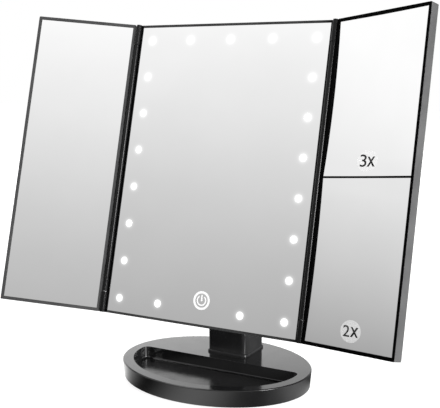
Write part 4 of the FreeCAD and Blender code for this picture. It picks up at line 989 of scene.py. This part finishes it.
# floor, lights and surroundings
studio = {
    "floorSize": 8.0,
    "floorDrop": 0.2 * mm,
    "floorWhite": (0.90, 1.0),  # near the object and far off, where it meets the backdrop
    "whiteReach": (0.35, 0.9),
    "floorDiffuse": (0.20, 0.20, 0.20, 1),
    "floorGloss": (0.08, 1.40, 0.05),  # darkest and lightest band near the base, and far off
    "floorBands": 4,
    "bandTurn": 8.0,
    "bandReach": (0.12, 0.20),
    "bandBack": (-0.02, 0.03),  # the bands end at the level of the neck
    "cornerLight": {"angle": 93.0, "reach": (4.0, 11.0), "level": 3.0},  # a strip off to the right
    "rearLevel": 0.4,
    "rearReach": (0.05, 0.15),
    "mirrorFloor": (0.60, 0.38),  # far off as light as the foot of the room
    "mirrorReach": (0.2, 3.0),
    "roomLight": 0.10,
    # the room that mirrors see: how far up, and how light it is there
    "frontRoom": (
        (0.10, 0.38), (0.19, 0.50), (0.25, 0.575), (0.30, 0.655), (0.355, 0.76),
        (0.40, 0.85), (0.45, 0.93), (0.50, 1.03), (0.62, 1.0), (0.76, 0.25),
    ),
    "leftRoom": (
        (0.05, 0.33), (0.099, 0.47), (0.145, 0.65), (0.193, 0.815),
        (0.24, 0.85), (0.29, 0.873), (0.32, 0.983), (0.34, 1.04),
    ),
    "frontDrift": ((0.20, 1.05), (0.25, 1.0), (0.30, 0.955), (0.375, 0.955), (0.45, 1.0)),  # from left to right
    "leftStart": (-0.62, -0.78),
    "backStart": 0.15,
    "backLight": (1.70, 0.37),  # left and right, behind the object
    "backTurn": (-0.60, 0.30),
    "backTop": 0.15,  # share of it overhead
    "backFade": (0.30, 0.46),
    "overhead": {"x": (-0.66, -0.56, -0.34, -0.24), "z": (0.72, 0.80), "level": 3.0},
    # lights up the hinge barrels; the turn is in degrees from the front
    "sideStrip": {"turn": (54, 58, 73, 77), "z": (0.07, 0.13, 0.28, 0.36), "level": 26.0},
    "lamps": {
        "rightSoft": {"place": (1.45, -0.38, 0.35), "size": (0.5, 0.5), "power": 76.0},
        "frontSoft": {"place": (-0.5, -0.8, 2.2), "size": (1.0, 1.0), "power": 4.0},
        "rearSoft": {"place": (0.1, 1.6, 1.4), "size": (1.0, 1.0), "power": 60.0},
        "leftRear": {"place": (-1.5, 1.3, 1.0), "size": (0.8, 0.8), "power": 50.0},
    },
    "aim": (0.0, 0.0, 0.15),
}


def rayKinds(tree):
    path = add(tree, "ShaderNodeLightPath")
    seen = calc(tree, "MAXIMUM", path.outputs["Is Camera Ray"], path.outputs["Is Transmission Ray"])
    glossy = path.outputs["Is Glossy Ray"]
    mirrored = calc(tree, "MULTIPLY", glossy, path.outputs["Is Singular Ray"])  # seen in the clean mirrors
    return seen, glossy, mirrored, calc(tree, "SUBTRACT", glossy, mirrored)


def between(tree, source, ends):
    # fades in over the first two ends and out over the last two
    rise = spread(tree, source, 0.0, 1.0, *ends[:2])
    return calc(tree, "MULTIPLY", rise, spread(tree, source, 1.0, 0.0, *ends[2:]))


def floorSheen(tree, place, distance):
    # what gloss sees of the floor: light and dark bands round the base, a strip and a lighter rear far off
    x, y = axes(tree, place)[:2]
    angle = calc(tree, "ARCTAN2", x, y)
    phased = calc(tree, "ADD", angle, math.radians(studio["bandTurn"]))
    wave = calc(tree, "COSINE", calc(tree, "MULTIPLY", phased, studio["floorBands"]))
    ahead = spread(tree, y, 1.0, 0.0, *studio["bandBack"])
    share = calc(tree, "MULTIPLY", spread(tree, wave, 0.0, 1.0, -1.0, 1.0), ahead)
    dark, light, far = studio["floorGloss"]
    band = spread(tree, share, dark, light, 0.0, 1.0)
    corner = studio["cornerLight"]
    turned = calc(tree, "ABSOLUTE", calc(tree, "SUBTRACT", angle, math.radians(corner["angle"])))
    strip = spread(tree, turned, corner["level"], 0.0, *[math.radians(end) for end in corner["reach"]])
    rear = spread(tree, y, 0.0, studio["rearLevel"], *studio["rearReach"])
    farOff = calc(tree, "ADD", calc(tree, "ADD", strip, rear), far)
    return mix(tree, band, farOff, spread(tree, distance, 0.0, 1.0, *studio["bandReach"]))


def makeFloor():
    shape = bmesh.new()
    bmesh.ops.create_grid(shape, x_segments=2, y_segments=2, size=studio["floorSize"] / 2)
    mesh = meshOf(shape, "floor")
    mesh.transform(Matrix.Translation((0, 0, -studio["floorDrop"])))
    material, tree = newMaterial("paleFloor")[:2]
    tree.nodes.clear()
    place = add(tree, "ShaderNodeTexCoord").outputs["Object"]
    length = add(tree, "ShaderNodeVectorMath", {"operation": "LENGTH"})
    wire(tree, place, length.inputs[0])
    distance = length.outputs["Value"]
    seen, glossy, mirrored, sheen = rayKinds(tree)
    paper = spread(tree, distance, *studio["floorWhite"], *studio["whiteReach"])
    plain = spread(tree, distance, *studio["mirrorFloor"], *studio["mirrorReach"])
    shown = calc(tree, "ADD", calc(tree, "MULTIPLY", seen, paper), calc(tree, "MULTIPLY", mirrored, plain))
    gloss = calc(tree, "MULTIPLY", sheen, floorSheen(tree, place, distance))
    matt = add(tree, "ShaderNodeBsdfDiffuse", values={"Color": studio["floorDiffuse"]})
    pale = add(tree, "ShaderNodeEmission")
    wire(tree, calc(tree, "ADD", shown, gloss), pale.inputs["Strength"])
    both = add(tree, "ShaderNodeAddShader")
    pick = add(tree, "ShaderNodeMixShader")
    output = add(tree, "ShaderNodeOutputMaterial")
    wire(tree, matt.outputs["BSDF"], both.inputs[0])
    wire(tree, pale.outputs["Emission"], both.inputs[1])
    wire(tree, glossy, pick.inputs[0])
    wire(tree, both.outputs["Shader"], pick.inputs[1])
    wire(tree, pale.outputs["Emission"], pick.inputs[2])
    wire(tree, pick.outputs["Shader"], output.inputs["Surface"])
    mesh.materials.append(material)
    link("floor", mesh)


def levelRamp(tree, source, stops):
    ramp = add(tree, "ShaderNodeValToRGB")
    while len(ramp.color_ramp.elements) < len(stops):
        ramp.color_ramp.elements.new(0.5)  # put in its place below
    for element, (position, level) in zip(ramp.color_ramp.elements, stops):
        element.position = position
        element.color = (level, level, level, 1)
    wire(tree, source, ramp.inputs["Fac"])
    return ramp.outputs["Color"]


def makeWorld():
    # white to the eye; mirrors and gloss see a room that grows lighter upwards
    world = bpy.data.worlds.new("studio")
    scene.world = world
    world.use_nodes = True
    tree = world.node_tree
    tree.nodes.clear()
    x, y, z = axes(tree, add(tree, "ShaderNodeTexCoord").outputs["Generated"])
    drift = levelRamp(tree, spread(tree, x, 0.0, 1.0, -1.0, 1.0), studio["frontDrift"])
    front = calc(tree, "MULTIPLY", levelRamp(tree, z, studio["frontRoom"]), drift)
    left = levelRamp(tree, z, studio["leftRoom"])
    room = mix(tree, front, left, spread(tree, x, 0.0, 1.0, *studio["leftStart"]))
    back = spread(tree, x, *studio["backLight"], *studio["backTurn"])
    back = calc(tree, "MULTIPLY", back, spread(tree, z, 1.0, studio["backTop"], *studio["backFade"]))
    gloss = mix(tree, room, back, calc(tree, "GREATER_THAN", y, studio["backStart"]))
    over = studio["overhead"]
    overLevel = spread(tree, z, 0.0, over["level"], *over["z"])
    box = calc(tree, "MULTIPLY", between(tree, x, over["x"]), overLevel)
    side = studio["sideStrip"]
    turn = calc(tree, "ARCTAN2", x, calc(tree, "MULTIPLY", y, -1.0))
    inTurn = between(tree, turn, [math.radians(end) for end in side["turn"]])
    inStrip = calc(tree, "MULTIPLY", inTurn, between(tree, z, side["z"]))
    strip = calc(tree, "MULTIPLY", inStrip, side["level"])
    gloss = calc(tree, "ADD", gloss, calc(tree, "ADD", box, strip))
    seen, glossy, mirrored, sheen = rayKinds(tree)
    bright = calc(tree, "ADD", calc(tree, "MULTIPLY", mirrored, room), calc(tree, "MULTIPLY", sheen, gloss))
    others = calc(tree, "SUBTRACT", 1.0, calc(tree, "MAXIMUM", seen, glossy))
    dim = calc(tree, "MULTIPLY", others, studio["roomLight"])
    light = add(tree, "ShaderNodeBackground", values={"Color": white})
    output = add(tree, "ShaderNodeOutputWorld")
    wire(tree, calc(tree, "ADD", calc(tree, "ADD", bright, seen), dim), light.inputs["Strength"])
    wire(tree, light.outputs["Background"], output.inputs["Surface"])


def makeLamps():
    for name, lamp in studio["lamps"].items():
        data = bpy.data.lights.new(name, "AREA")
        data.shape = "RECTANGLE"
        data.size, data.size_y = lamp["size"]
        data.energy = lamp["power"]
        rig = bpy.data.objects.new(name, data)
        rig.location = lamp["place"]
        rig.visible_glossy = False  # gloss sees the room instead
        aim = Vector(studio["aim"]) - Vector(lamp["place"])
        rig.rotation_euler = aim.to_track_quat("-Z", "Y").to_euler()
        scene.collection.objects.link(rig)


makeFloor()
makeWorld()
makeLamps()
print("stage: studio")
